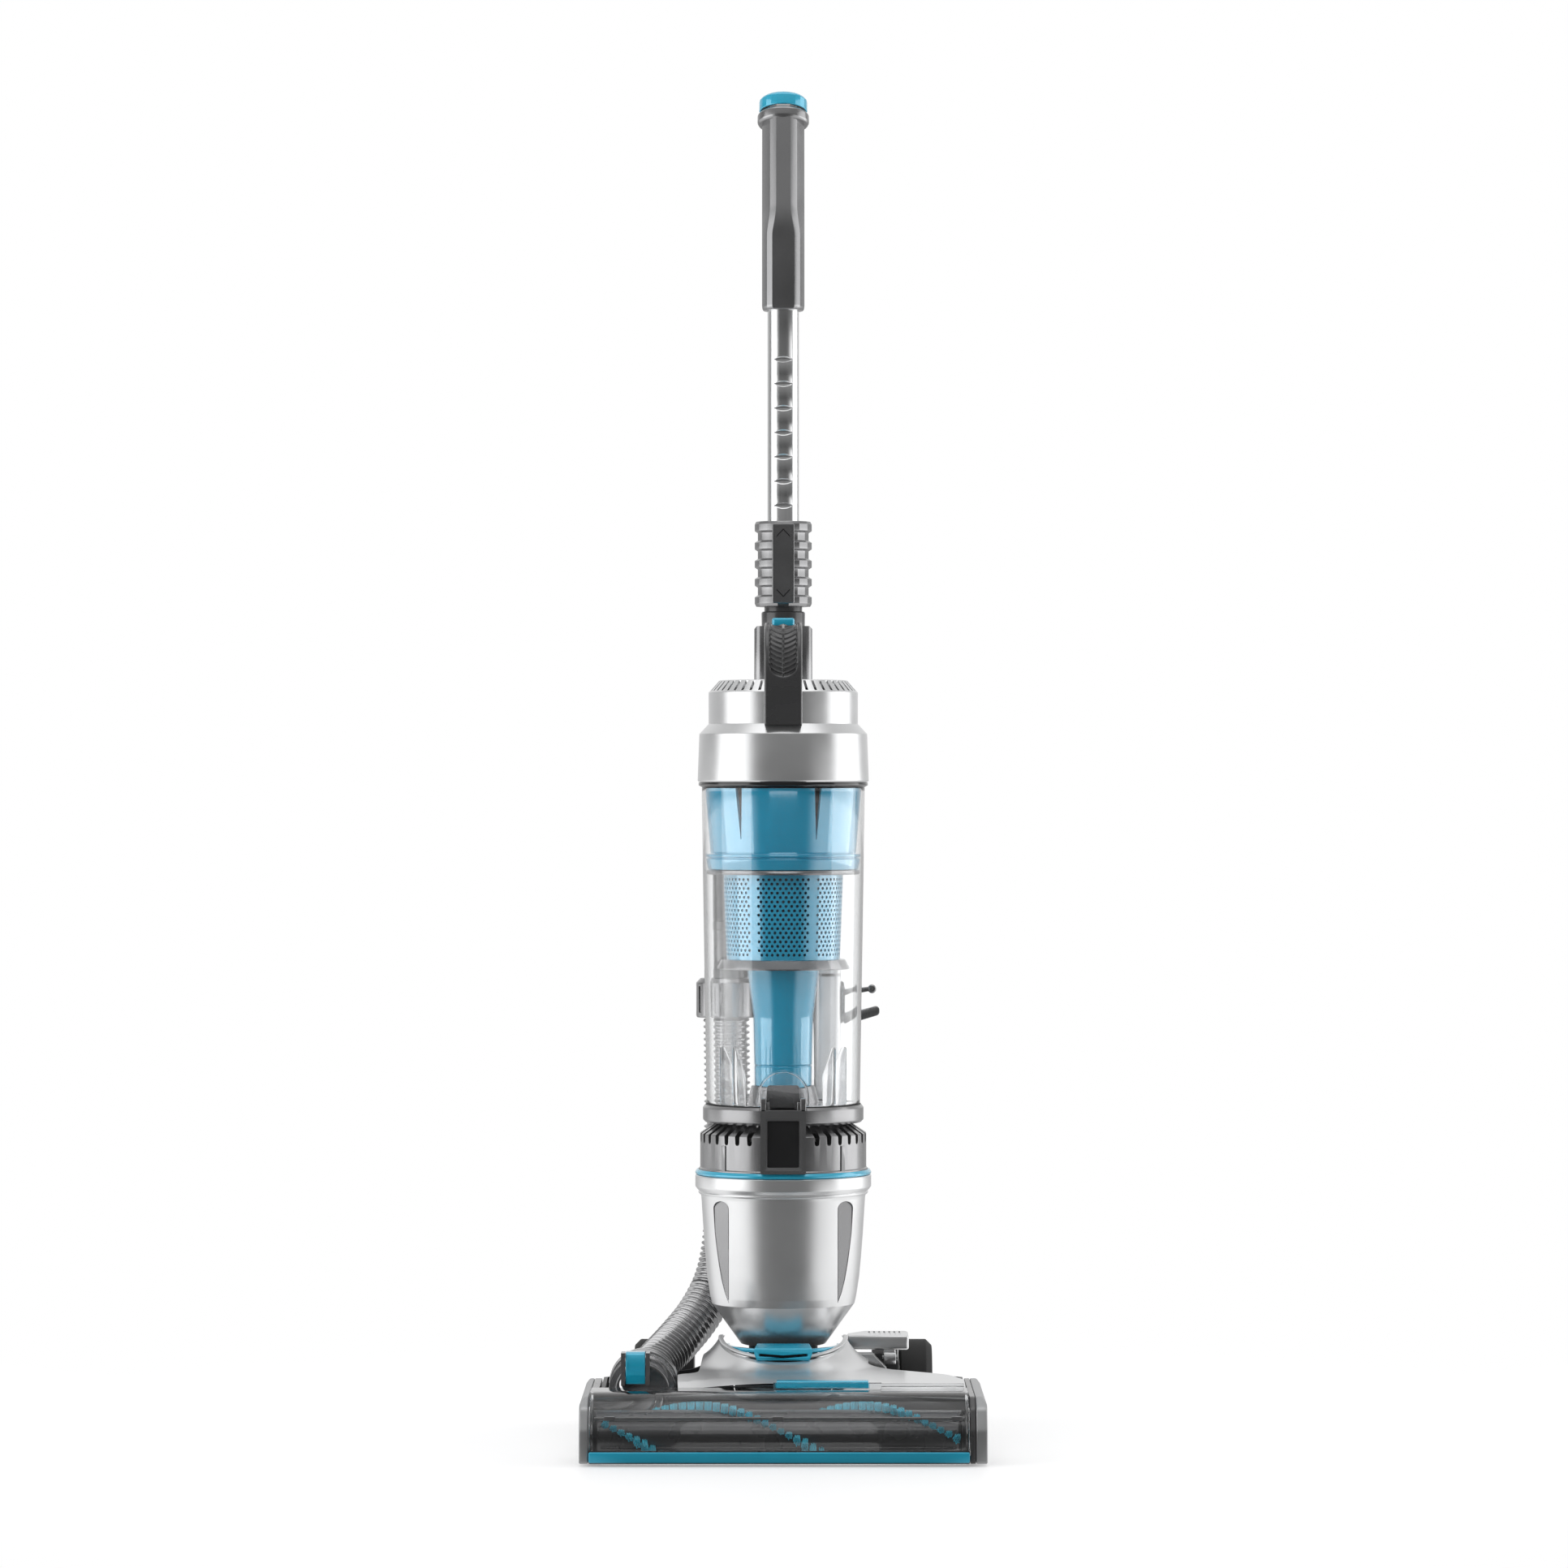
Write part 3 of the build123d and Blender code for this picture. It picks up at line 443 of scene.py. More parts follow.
def make_camera():
    """Level, straight-on front view."""
    data = bpy.data.cameras.new("camera")
    data.lens = LENS
    data.sensor_width = SENSOR_WIDTH
    camera = bpy.data.objects.new("camera", data)
    bpy.context.scene.collection.objects.link(camera)
    camera.location = AXIS + Vector((SIDE_STEP, -CAMERA_DISTANCE, CAMERA_HEIGHT))
    camera.rotation_euler = (math.radians(90), 0, 0)
    bpy.context.scene.camera = camera


def soft_box(name, location, aim, width, height, radiance):
    """A rectangular lamp of the given brightness."""
    data = bpy.data.lights.new(name, "AREA")
    data.shape = "RECTANGLE"
    data.size = width
    data.size_y = height
    data.energy = radiance * math.pi * width * height
    lamp = bpy.data.objects.new(name, data)
    bpy.context.scene.collection.objects.link(lamp)
    lamp.location = location
    lamp.rotation_euler = (Vector(aim) - Vector(location)).to_track_quat("-Z", "Y").to_euler()
    lamp.visible_camera = False
    return lamp


def make_lights():
    """Tall soft boxes on both sides, the right one further back, one overhead and a matt fill in front."""
    middle = (0.0, 0.0, 0.55)
    soft_box("key_left", (-2.0, -0.62, 0.6), middle, 2.05, 2.8, 1.5)
    soft_box("key_right", (2.074, 0.329, 0.6), middle, 1.96, 2.8, 1.5)
    soft_box("overhead", (0.0, -0.1, 2.7), (0.0, 0.0, 0.3), 2.2, 1.8, 0.9)
    fill = soft_box("fill", (0.0, -3.2, 1.5), middle, 2.6, 2.2, 1.3)
    fill.visible_glossy = False


def math_node(tree, operation, *values):
    """Output of a math node fed with plain numbers or other outputs."""
    node = tree.nodes.new("ShaderNodeMath")
    node.operation = operation
    for slot, value in enumerate(values):
        if isinstance(value, (int, float)):
            node.inputs[slot].default_value = value
        else:
            tree.links.new(value, node.inputs[slot])
    return node.outputs["Value"]


def looked_at(tree):
    """One where a ray comes from the eye, straight or through clear plastic, and zero for lighting."""
    path = tree.nodes.new("ShaderNodeLightPath")
    direct = math_node(tree, "MAXIMUM", path.outputs["Is Camera Ray"], path.outputs["Is Transmission Ray"])
    bounces = math_node(tree, "ADD", path.outputs["Diffuse Depth"], path.outputs["Glossy Depth"])
    return math_node(tree, "MULTIPLY", direct, math_node(tree, "LESS_THAN", bounces, 0.5))


def make_world():
    """White where it is looked at; as a light it is grey, darkest in front and brighter behind and above."""
    world = bpy.data.worlds.new("studio")
    bpy.context.scene.world = world
    world.use_nodes = True
    tree = world.node_tree
    nodes, links = tree.nodes, tree.links
    where = nodes.new("ShaderNodeTexCoord")
    parts = nodes.new("ShaderNodeSeparateXYZ")
    links.new(where.outputs["Generated"], parts.inputs["Vector"])
    behind = math_node(tree, "POWER", math_node(tree, "MAXIMUM", parts.outputs["Y"], 0.0), 2.0)
    above = math_node(tree, "MAXIMUM", parts.outputs["Z"], 0.0)
    dim = math_node(tree, "MULTIPLY_ADD", above, WORLD_ABOVE, WORLD_FRONT)
    dim = math_node(tree, "MULTIPLY_ADD", behind, WORLD_BEHIND, dim)
    links.new(math_node(tree, "MAXIMUM", dim, looked_at(tree)), nodes["Background"].inputs["Color"])


def reflected_floor(tree, where):
    """How bright the floor is in reflections: dark in front, bright at both sides, grey behind."""
    parts = tree.nodes.new("ShaderNodeSeparateXYZ")
    tree.links.new(where.outputs["Object"], parts.inputs["Vector"])
    x, y = parts.outputs["X"], parts.outputs["Y"]
    squares = [math_node(tree, "MULTIPLY", value, value) for value in (x, y)]
    reach = math_node(tree, "SQRT", math_node(tree, "ADD", *squares))
    side = tree.nodes.new("ShaderNodeMapRange")
    side.interpolation_type = "SMOOTHSTEP"
    side.inputs["From Min"].default_value, side.inputs["From Max"].default_value = SIDE_SHARE
    tree.links.new(math_node(tree, "DIVIDE", math_node(tree, "ABSOLUTE", x), reach), side.inputs["Value"])
    behind = math_node(tree, "GREATER_THAN", y, 0.0)
    base = math_node(tree, "MULTIPLY_ADD", behind, FLOOR_BEHIND - FLOOR_FRONT, FLOOR_FRONT)
    gain = math_node(tree, "SUBTRACT", FLOOR_SIDES, base)
    return math_node(tree, "MULTIPLY_ADD", side.outputs["Result"], gain, base)


def make_floor():
    """A pale floor that turns to plain white away from the cleaner."""
    mesh = bpy.data.meshes.new("floor")
    turns = [2 * math.pi * n / FLOOR_CORNERS for n in range(FLOOR_CORNERS)]
    ring = [(math.cos(turn) * FLOOR_RADIUS, math.sin(turn) * FLOOR_RADIUS, 0) for turn in turns]
    mesh.from_pydata(ring, [], [tuple(range(FLOOR_CORNERS))])
    floor = bpy.data.objects.new("floor", mesh)
    bpy.context.scene.collection.objects.link(floor)
    look = bpy.data.materials.new("floor_white")
    look.use_nodes = True
    nodes, links = look.node_tree.nodes, look.node_tree.links
    shader = nodes["Principled BSDF"]
    shader.inputs["Base Color"].default_value = (0.8, 0.8, 0.805, 1)
    shader.inputs["Roughness"].default_value = 0.5
    shader.inputs["Specular IOR Level"].default_value = 0.2
    shader.inputs["Emission Color"].default_value = (1, 1, 1, 1)
    shader.inputs["Emission Strength"].default_value = 0.3
    white = nodes.new("ShaderNodeEmission")
    tree = look.node_tree
    seen = looked_at(tree)
    where = nodes.new("ShaderNodeTexCoord")
    links.new(math_node(tree, "MAXIMUM", seen, reflected_floor(tree, where)), white.inputs["Strength"])
    reach = nodes.new("ShaderNodeVectorMath")
    reach.operation = "LENGTH"
    links.new(where.outputs["Object"], reach.inputs[0])
    fade = nodes.new("ShaderNodeMapRange")
    fade.interpolation_type = "SMOOTHSTEP"
    fade.inputs["From Min"].default_value, fade.inputs["From Max"].default_value = FLOOR_FADE
    links.new(reach.outputs["Value"], fade.inputs["Value"])
    mix = nodes.new("ShaderNodeMixShader")
    hidden = math_node(tree, "SUBTRACT", 1.0, seen)
    links.new(math_node(tree, "MAXIMUM", fade.outputs["Result"], hidden), mix.inputs["Fac"])
    links.new(shader.outputs["BSDF"], mix.inputs[1])
    links.new(white.outputs["Emission"], mix.inputs[2])
    links.new(mix.outputs["Shader"], nodes["Material Output"].inputs["Surface"])
    floor.data.materials.append(look)


make_camera()
make_lights()
make_world()
make_floor()
bpy.context.scene.view_settings.view_transform = "Standard"


# -------------------------------------------------------------------------- hose

# Route in metres about the axis, from the cuff on the column down to the socket in the head.
HOSE_ROUTE = [
    (-0.046, 0.080, 0.328),
    (-0.045, 0.0815, 0.280),
    (-0.0455, 0.080, 0.225),
    (-0.0445, 0.079, 0.170),
    (-0.050, 0.069, 0.124),
    (-0.065, 0.052, 0.094),
    (-0.084, 0.032, 0.073),
    (-0.099, 0.009, 0.059),
    (-0.107, -0.016, 0.0515),
    (-0.108, -0.041, 0.049),
]
HOSE_DIAMETER = 0.036
HOSE_UPPER = 0.222     # length of the stretch above the neck's turning point
RIB_PITCH = 5.0
RIB_DEPTH = 2.4


def hose_line():
    """Close points along the route's smooth curve."""
    curve = bpy.data.curves.new("hose_route", "CURVE")
    curve.dimensions = "3D"
    curve.resolution_u = 60
    spline = curve.splines.new("NURBS")
    spline.points.add(len(HOSE_ROUTE) - 1)
    for point, where in zip(spline.points, HOSE_ROUTE):
        point.co = (*(Vector(where) + AXIS), 1.0)
    spline.order_u = 3
    spline.use_endpoint_u = True
    holder = bpy.data.objects.new("hose_route", curve)
    bpy.context.scene.collection.objects.link(holder)
    graph = bpy.context.evaluated_depsgraph_get()
    graph.update()
    mesh = bpy.data.meshes.new_from_object(holder.evaluated_get(graph))
    line = [vertex.co.copy() for vertex in mesh.vertices]
    bpy.data.objects.remove(holder)
    return line


def evenly(line, step):
    """Points a fixed distance apart along a line."""
    points = [line[0]]
    left = step
    for before, after in zip(line, line[1:]):
        run = (after - before).length
        done = 0.0
        while run - done >= left:
            done += left
            points.append(before.lerp(after, done / run))
            left = step
        left -= run - done
    points.append(line[-1])
    return points


def rib(along):
    """The corrugated hose's radius at a distance along it."""
    wave = 0.5 - 0.5 * math.cos(2 * math.pi * along / RIB_PITCH)
    steep = wave * wave * (3 - 2 * wave)
    return 1000 * HOSE_DIAMETER / 2 - RIB_DEPTH * (1 - steep)


def make_hose():
    """Two stretches that meet beside the neck, so that each crosses one joint."""
    line = evenly(hose_line(), RIB_PITCH * MM / 8)
    cut_at = round(HOSE_UPPER / (RIB_PITCH * MM / 8))
    upper_line, lower_line = line[:cut_at + 1], line[cut_at:]
    upper = tube_along("hose_upper", upper_line, rib, sharp=60)
    lower = tube_along("hose_lower", lower_line, rib, sharp=60)
    for piece in (upper, lower):
        piece.data.materials.append(HOSE)
        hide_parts("hose")
    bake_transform(upper)
    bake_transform(lower)


make_hose()


# ----------------------------------------------------------------- cleaning head

RIM_HEIGHT = 80.0     # the middle of the tilted rim round the neck
RIM_RADIUS = 50.0
RIM_DROP = 12.0       # how much lower the rim is in front than in its middle
COVER_THICK = 2.6


def crown_profile(drop):
    """The cover's section from its foot up to the rim, as (radius, height), that much further in."""
    shoulder, foot = (81.0, 59.4 - drop), (190.0, 49.6 - drop)
    rim = (RIM_RADIUS - drop, RIM_HEIGHT)
    slope = math.atan2(shoulder[1] - foot[1], shoulder[0] - foot[0])
    normal = (math.sin(slope), -math.cos(slope))
    if normal[1] < 0:
        normal = (-normal[0], -normal[1])
    gap = (rim[0] - shoulder[0], rim[1] - shoulder[1])
    radius = (gap[0] ** 2 + gap[1] ** 2) / (2 * (gap[0] * normal[0] + gap[1] * normal[1]))
    centre = (shoulder[0] + normal[0] * radius, shoulder[1] + normal[1] * radius)
    start = math.degrees(math.atan2(shoulder[1] - centre[1], shoulder[0] - centre[0]))
    end = math.degrees(math.atan2(rim[1] - centre[1], rim[0] - centre[0]))
    end = start + (end - start + 180) % 360 - 180
    flat = [(foot[0] + (shoulder[0] - foot[0]) * n / 10, foot[1] + (shoulder[1] - foot[1]) * n / 10)
            for n in range(10)]
    return flat + arc(centre, radius, start, end, 24)


def make_head_cover():
    """The silver crown: a bell cut to its plan, with the tilted rim round the neck."""
    low, high = span("head_cover")
    outer = crown_profile(0)
    inner = [(outer[-1][0] - COVER_THICK, RIM_HEIGHT)] + crown_profile(COVER_THICK)[::-1]
    bell = turned("head_cover", outer + inner, steps=FINE_STEPS)
    plan = [
        (low.x, low.y), (high.x, low.y, 14), (high.x, -62, 20), (128, -40, 12), (84, -38, 6), (66.5, -26, 3),
        (66.5, -8, 3), (48, -8, 3), (48, high.y, 2), (-62, high.y, 6), (-66, -64, 10), (low.x, -64, 6),
    ]
    bell = combined(bell, prism("plan", rounded(plan, 3.0, 6), 0, 120, "Z", 0), "INTERSECT")
    tilt = math.atan2(RIM_DROP, RIM_RADIUS)
    above = slab("above", (-200, -200, RIM_HEIGHT), (200, 200, 200), 0, "Z", 0)
    moved(above, Matrix.Rotation(tilt, 4, "X"), (0, 0, RIM_HEIGHT))
    bell = combined(bell, above)
    mouth = turned("mouth", [(0, -125), (27.6, -125), (27.6, -60), (0, -60)], (-108, 0, 49), "Y")
    bell = combined(bell, mouth)
    dress(bell, SILVER, "floor_head", "head_cover")
    lip_radius = 50.2
    lip = turned("cover_rim", rounded([(lip_radius - 3.4, -1.2), (lip_radius + 0.9, -1.6),
        (lip_radius + 0.4, 0.6), (lip_radius - 3.0, 0.9)], 0.8), (0, 0, RIM_HEIGHT))
    stretch = Matrix.Scale(1 / math.cos(tilt), 4, (0, 1, 0))
    moved(lip, Matrix.Rotation(tilt, 4, "X") @ stretch, (0, 0, RIM_HEIGHT))
    behind = slab("behind", (-90, 3, 40), (90, 90, 120), 0, "Z", 0)
    dress(combined(lip, behind), PALE, "floor_head")


def make_soleplate():
    """Sole plate with the brush's mouth, the rollers' pockets and a row of grooves."""
    low, high = span("sole_plate")
    plan = rounded([(low.x, low.y), (high.x, low.y), (high.x, high.y), (low.x, high.y)], 4)
    plate = prism("sole_plate", plan, low.z, high.z, "Z", 0)
    mouth = prism("mouth", rounded([(-139, -173), (139, -173), (139, -113), (-139, -113)], 6), 0, 10, "Z", 0)
    plate = combined(plate, mouth)
    for side in (-1, 1):
        pocket = slab("pocket", (side * 98 - 9, -110, 0), (side * 98 + 9, -90, 10), 2, "Z", 0)
        plate = combined(plate, pocket)
    grooves = [slab("groove", (x - 1.2, -108, 1), (x + 1.2, -24, 3.2), 1, "Z", 0) for x in range(-84, 85, 12)]
    plate = combined(plate, joined(*grooves))
    dress(plate, BLACK, "floor_head", "sole_plate")


def make_base():
    """The tray behind the brush with the hinge ears and the wheel arms, in its own finish."""
    repaint(BLACK, "head_base")
    shelf = prism("cover_shelf", rounded([(67, -46), (126, -46), (126, -21), (67, -21)], 2.0),
        44, 49.6, "Z", 0.6)
    dress(shelf, BLACK, "floor_head")
    ribs = []
    for number in range(9):
        x = -26 + number * 6.5
        ribs.append(slab("base_ribs", (x - 1, -19, 14), (x + 1, -4.5, 16.5), 0.6, "Z", 0.4))
    dress(joined(*ribs), CHARCOAL, "floor_head")


def make_end_cap(side):
    """A side wall of the brush chamber: a dark inner wall under a bright bevelled shield."""
    name = "end_cap_right" if side > 0 else "end_cap_left"
    low, high = span(name)
    inner_x, outer_x = (low.x, high.x) if side > 0 else (high.x, low.x)
    seam = inner_x + side * (4.4 if side > 0 else 6.0)
    outline = [(low.y, low.z), (low.y, 27, 9), (-176, 43, 9), (-161, high.z, 12), (-26, high.z, 8),
               (high.y, 40, 6), (high.y, low.z)]
    wall = prism(name, rounded(outline, 2.0, 6), *sorted((inner_x, seam - side * 0.3)), "X", 0.6)
    if side < 0:
        # The window and the strip reach further out on this side, over a thinner wall.
        above = slab("above", (-148, -200, 11.6), (-140, -117, 60), 0, "Z", 0)
        before = slab("before", (-148, -200, 0), (-140, -183.2, 12), 0, "Z", 0)
        wall = combined(combined(wall, above), before)
    dress(wall, CHARCOAL, "floor_head", name)
    shield = prism(name + "_shield", rounded(outline, 2.0, 6), *sorted((seam, outer_x)), "X", 0)
    edge = [(outer_x + side, high.z - 6.5), (outer_x + side, high.z + 8), (outer_x - side * 9, high.z + 8)]
    shield = combined(shield, prism("edge", edge, -190, -10, "Y", 0))
    shield = bevelled(shield, 1.1, 3)
    dress(shield, CAP_GREY, "floor_head", name)
    badge = prism(name + "_panel", rounded([(-172, 8), (-172, 26), (-166, 36), (-148, 36), (-132, 24),
        (-132, 8)], 3), *sorted((outer_x - side * 1.4, outer_x)), "X", 0.3)
    dress(badge, CHARCOAL, "floor_head", name)


def make_bumper():
    """Coloured strip along the front, on a dark carrier."""
    low, high = span("bumper_strip")
    strip = slab("bumper_strip", low, high, 1.2, "Y", 0.7, 3)
    dress(strip, TEAL, "floor_head", "bumper_strip")
    frame_low = (low.x - 0.3, high.y - 0.2, low.z - 1.0)
    frame_high = (high.x + 0.3, high.y + 2.4, high.z + 1.2)
    back = slab("bumper_carrier", frame_low, frame_high, 1.4, "Y", 0.4)
    dress(back, CHARCOAL, "floor_head")


def window_section(inset):
    """The clear window's section from its rear edge over the nose to its foot."""
    low = span("brush_window")[0]
    top = 53.0 - inset
    front = low.y + inset
    bend = 32.0 - inset
    return [(-121, top)] + arc((front + bend, top - bend), bend, 90, 180, 20) + [(front, low.z)]


def make_window():
    """Clear curved window over the brush, with its stiffening rails and the frame round its edge."""
    low, high = span("brush_window")
    section = window_section(0) + window_section(2.2)[::-1]
    shell = prism("brush_window", section, low.x, high.x, "X", 0.35, sharp=25)
    rails = [
        slab("rail", (74.5, -121.4, 53.2), (138, -119.0, 56), 0.8, "X", 0.4),
        slab("rail", (74.5, -125.5, 52.6), (138, -123.6, 54.6), 0.6, "X", 0.4),
    ]
    for x in (low.x + 1.9, high.x - 1.9):
        side_rib = prism("rib", window_section(2.0) + window_section(4.6)[::-1], x - 1.2, x + 1.2, "X", 0.3)
        rails.append(side_rib)
    dress(joined(shell, *rails), CLEAR, "window", "brush_window")
    bar_z = 36.0
    bar = slab("window_crossbar", (low.x + 4, -181.0, bar_z - 1.2), (high.x - 4, -179.0, bar_z + 1.0),
        0.5, "X", 0.3)
    stops = [slab("stop", (x - 4, -182.0, bar_z - 1.8), (x + 4, -178.6, bar_z + 1.8), 0.6, "X", 0.3)
             for x in (-131, -4, 131)]
    dress(joined(bar, *stops), GUNMETAL, "window")


def make_latch():
    """Coloured sliding latch inside a clear guard."""
    low, high = span("window_latch")
    outline = rounded([(low.y, low.z + 0.3), (low.y, high.z - 0.6, 1.6), (high.y, high.z, 1.6),
        (high.y, low.z + 0.3)], 0.5)
    bar = prism("window_latch", outline, low.x, high.x, "X", 0.5, 3)
    grips = [slab("grip", (x - 1.0, low.y, low.z + 0.1), (x + 1.0, low.y + 1.6, low.z + 1.5), 0.4, "Y", 0.2)
             for x in [low.x + 7 + 8 * n for n in range(8)]]
    dress(joined(bar, *grips), TEAL, "window_latch", "window_latch")
    guard = prism("latch_guard", rounded([(low.y - 2.2, low.z), (low.y - 2.2, high.z - 1.5, 1.2),
        (low.y - 0.4, high.z - 1.5), (low.y - 0.4, low.z)], 0.3), low.x - 2.5, high.x + 10, "X", 0.2)
    dress(guard, CLEAR, "window")


def make_brush():
    """Brush roll: a fluted core with two helical rows of bristle tufts."""
    low, high = span("brush_core")
    y, z = (low.y + high.y) / 2, (low.z + high.z) / 2
    core_r, tip_r = 16.0, 22.5
    profile = rounded([
        (0, low.x), (4, low.x, 0.8), (4, -139.5), (13, -139.5, 1), (core_r, -137, 1.5), (core_r, 129, 1.5),
        (14, 130.2),
        (11, 130.2), (11, 139, 0.6), (4, 139), (4, high.x, 0.8), (0, high.x),
    ], 0.3)
    core = turned("brush_core", profile, (0, y, z), "X", 96)
    flutes = []
    for number in range(6):
        flute = slab("flute", (-134, y - 0.9, z + core_r - 1.0), (127, y + 0.9, z + core_r + 2), 0.5, "X", 0)
        flutes.append(spun(flute, 60 * number, "X", (0, y, z)))
    core = combined(core, joined(*flutes))
    dress(core, CHARCOAL, "brush_roll", "brush_core")
    pitch, spacing, first, phase = 240.0, 5.9, -131.5, 88
    per_row, hairs, tuft_r, golden, splay = 45, 19, 2.35, 2.39996, 1.16
    strands = []
    for row in range(2):
        for tuft in range(per_row):
            x = first + tuft * spacing
            turn = math.radians(360 * x / pitch + phase + 180 * row)
            for hair in range(hairs):
                spread = tuft_r * math.sqrt((hair + 0.5) / hairs)
                swing = hair * golden
                dx, dy = spread * math.cos(swing), spread * math.sin(swing)
                reach = tip_r - 0.35 * abs(math.sin(7.1 * hair + 3.3 * tuft + row))
                strands.append((x, turn, dx, dy, reach))
    points, faces = [], []
    for x, turn, dx, dy, reach in strands:
        start = len(points)
        for level, scale in ((core_r - 1.2, 1.0), (reach, splay)):
            for side in range(5):
                angle = 2 * math.pi * side / 5
                thick = 0.5 if level < reach else 0.4
                px = dx * scale + thick * math.cos(angle)
                py = dy * scale + thick * math.sin(angle)
                points.append((
                    x + px,
                    y + py * math.cos(turn) - level * math.sin(turn),
                    z + py * math.sin(turn) + level * math.cos(turn),
                ))
        for side in range(5):
            following = (side + 1) % 5
            faces.append((start + side, start + following, start + 5 + following, start + 5 + side))
        faces.append(tuple(start + 5 + side for side in range(5)))
        faces.append(tuple(start + 4 - side for side in range(5)))
    dress(mesh_object("brush_tufts", points, faces, 50), BRISTLE, "brush_roll", "brush_tufts")


def make_drive():
    """Motor, pulley and toothed belt beside the brush."""
    low, high = span("brush_motor")
    y, z = (low.y + high.y) / 2, high.z - 17
    can = turned("brush_motor", rounded([
        (0, low.x), (9, low.x), (9, low.x + 3), (15.6, low.x + 3, 2), (17, low.x + 8, 1), (17, high.x - 8, 1),
        (15.6, high.x - 2, 2), (7, high.x - 2), (7, high.x), (0, high.x),
    ], 0.6), (0, y, z), "X", 64)
    foot = slab("foot", (60, y - 14, low.z), (116, y + 14, 16), 2, "X", 0.6)
    dress(joined(can, foot), STEEL, "floor_head", "brush_motor")
    repaint(STEEL, "motor_pulley", "axle_pins", "brush_bearings", "hook_pin")
    repaint(RUBBER, "drive_belt")
    repaint(CHARCOAL, "suction_duct")


def make_wheel(side):
    """Rear wheel: a smooth tyre with a bevelled outer edge on a spoked hub."""
    name = "wheel_right" if side > 0 else "wheel_left"
    low, high = span(name)
    y, z, radius = (low.y + high.y) / 2, (low.z + high.z) / 2, (high.z - low.z) / 2
    inner_x, outer_x = (low.x, high.x) if side > 0 else (high.x, low.x)
    width = abs(outer_x - inner_x)

    def at(depth):
        return inner_x + side * depth

    tyre = [(23.5, at(0.6)), (radius - 1.5, at(0), 1.2), (radius, at(1.6), 1.0),
        (radius, at(width - 5.0), 2.0), (radius - 5.0, at(width), 2.0), (23.5, at(width - 0.8), 0.5)]
    dress(turned(name, rounded(tyre, 0.2), (0, y, z), "X", 96), RUBBER, name, name)
    hub = rounded([(5.2, at(0.8)), (23.4, at(0.8)), (23.4, at(width - 1.2), 1.2),
        (20.5, at(width - 1.8), 1.0), (18.5, at(width - 6), 1.0), (9.5, at(width - 6), 1.0),
        (8.5, at(width - 2.4), 1.2), (5.2, at(width - 2.2))], 0.4)
    disc = turned(name + "_hub", hub, (0, y, z), "X", 96)
    spokes = []
    for number in range(6):
        spoke = slab("spoke", (min(at(width - 7), at(width - 2.6)), y - 1.6, z + 8),
                     (max(at(width - 7), at(width - 2.6)), y + 1.6, z + 20), 0.8, "Z", 0.3)
        spokes.append(spun(spoke, 60 * number, "X", (0, y, z)))
    dress(joined(disc, *spokes), GUNMETAL, name, name)


def make_rollers():
    """The two small rollers behind the brush's mouth."""
    for name in ("roller_left", "roller_right"):
        low, high = span(name)
        y, z, radius = (low.y + high.y) / 2, (low.z + high.z) / 2, (high.z - low.z) / 2
        profile = rounded([(2.1, low.x), (radius - 1, low.x, 1), (radius, low.x + 2, 0.8),
            (radius, high.x - 2, 0.8), (radius - 1, high.x, 1), (2.1, high.x)], 0.2)
        dress(turned(name, profile, (0, y, z), "X", 48), RUBBER, name, name)


def make_pedal():
    """Foot pedal: a bevelled silver bar on a curved arm that turns on its pin."""
    low, high = span("release_pedal")
    top = rounded([(low.x, 17, 2), (high.x, low.y, 2.5), (high.x, high.y, 4), (64, high.y, 3),
        (low.x, 36, 3)], 2.0, 5)
    bar = prism("release_pedal", top, 68.2, high.z, "Z", 2.2, 4)
    grooves = [slab("groove", (x - 0.7, 24, high.z - 0.7), (x + 0.7, 50, high.z + 1), 0.4, "Z", 0)
               for x in range(68, 95, 4)]
    bar = combined(bar, joined(*grooves))
    barrel = turned("barrel", rounded([(2.7, 79.2), (5.5, 79.2, 0.5), (5.5, 88.8, 0.5), (2.7, 88.8)], 0.2),
        (0, 20, 62), "X", 40)
    web = slab("web", (79.6, 16.6, 62), (88.4, 29.6, 70), 1.2, "Z", 0.4)
    dress(joined(bar, barrel, web), SILVER, "release_pedal", "release_pedal")


def make_pedal_support():
    """Curved cheek of the cover that sweeps up to the pedal's inner end."""
    outline = [(50.5, 67.0, 1), (70, 67.0, 2.5), (82, 54.5), (60, 54.5)]
    cheek = prism("pedal_cheek", rounded(outline, 0.6), -6.5, 10.5, "Y", 1.0, 3)
    dress(cheek, SILVER, "floor_head")


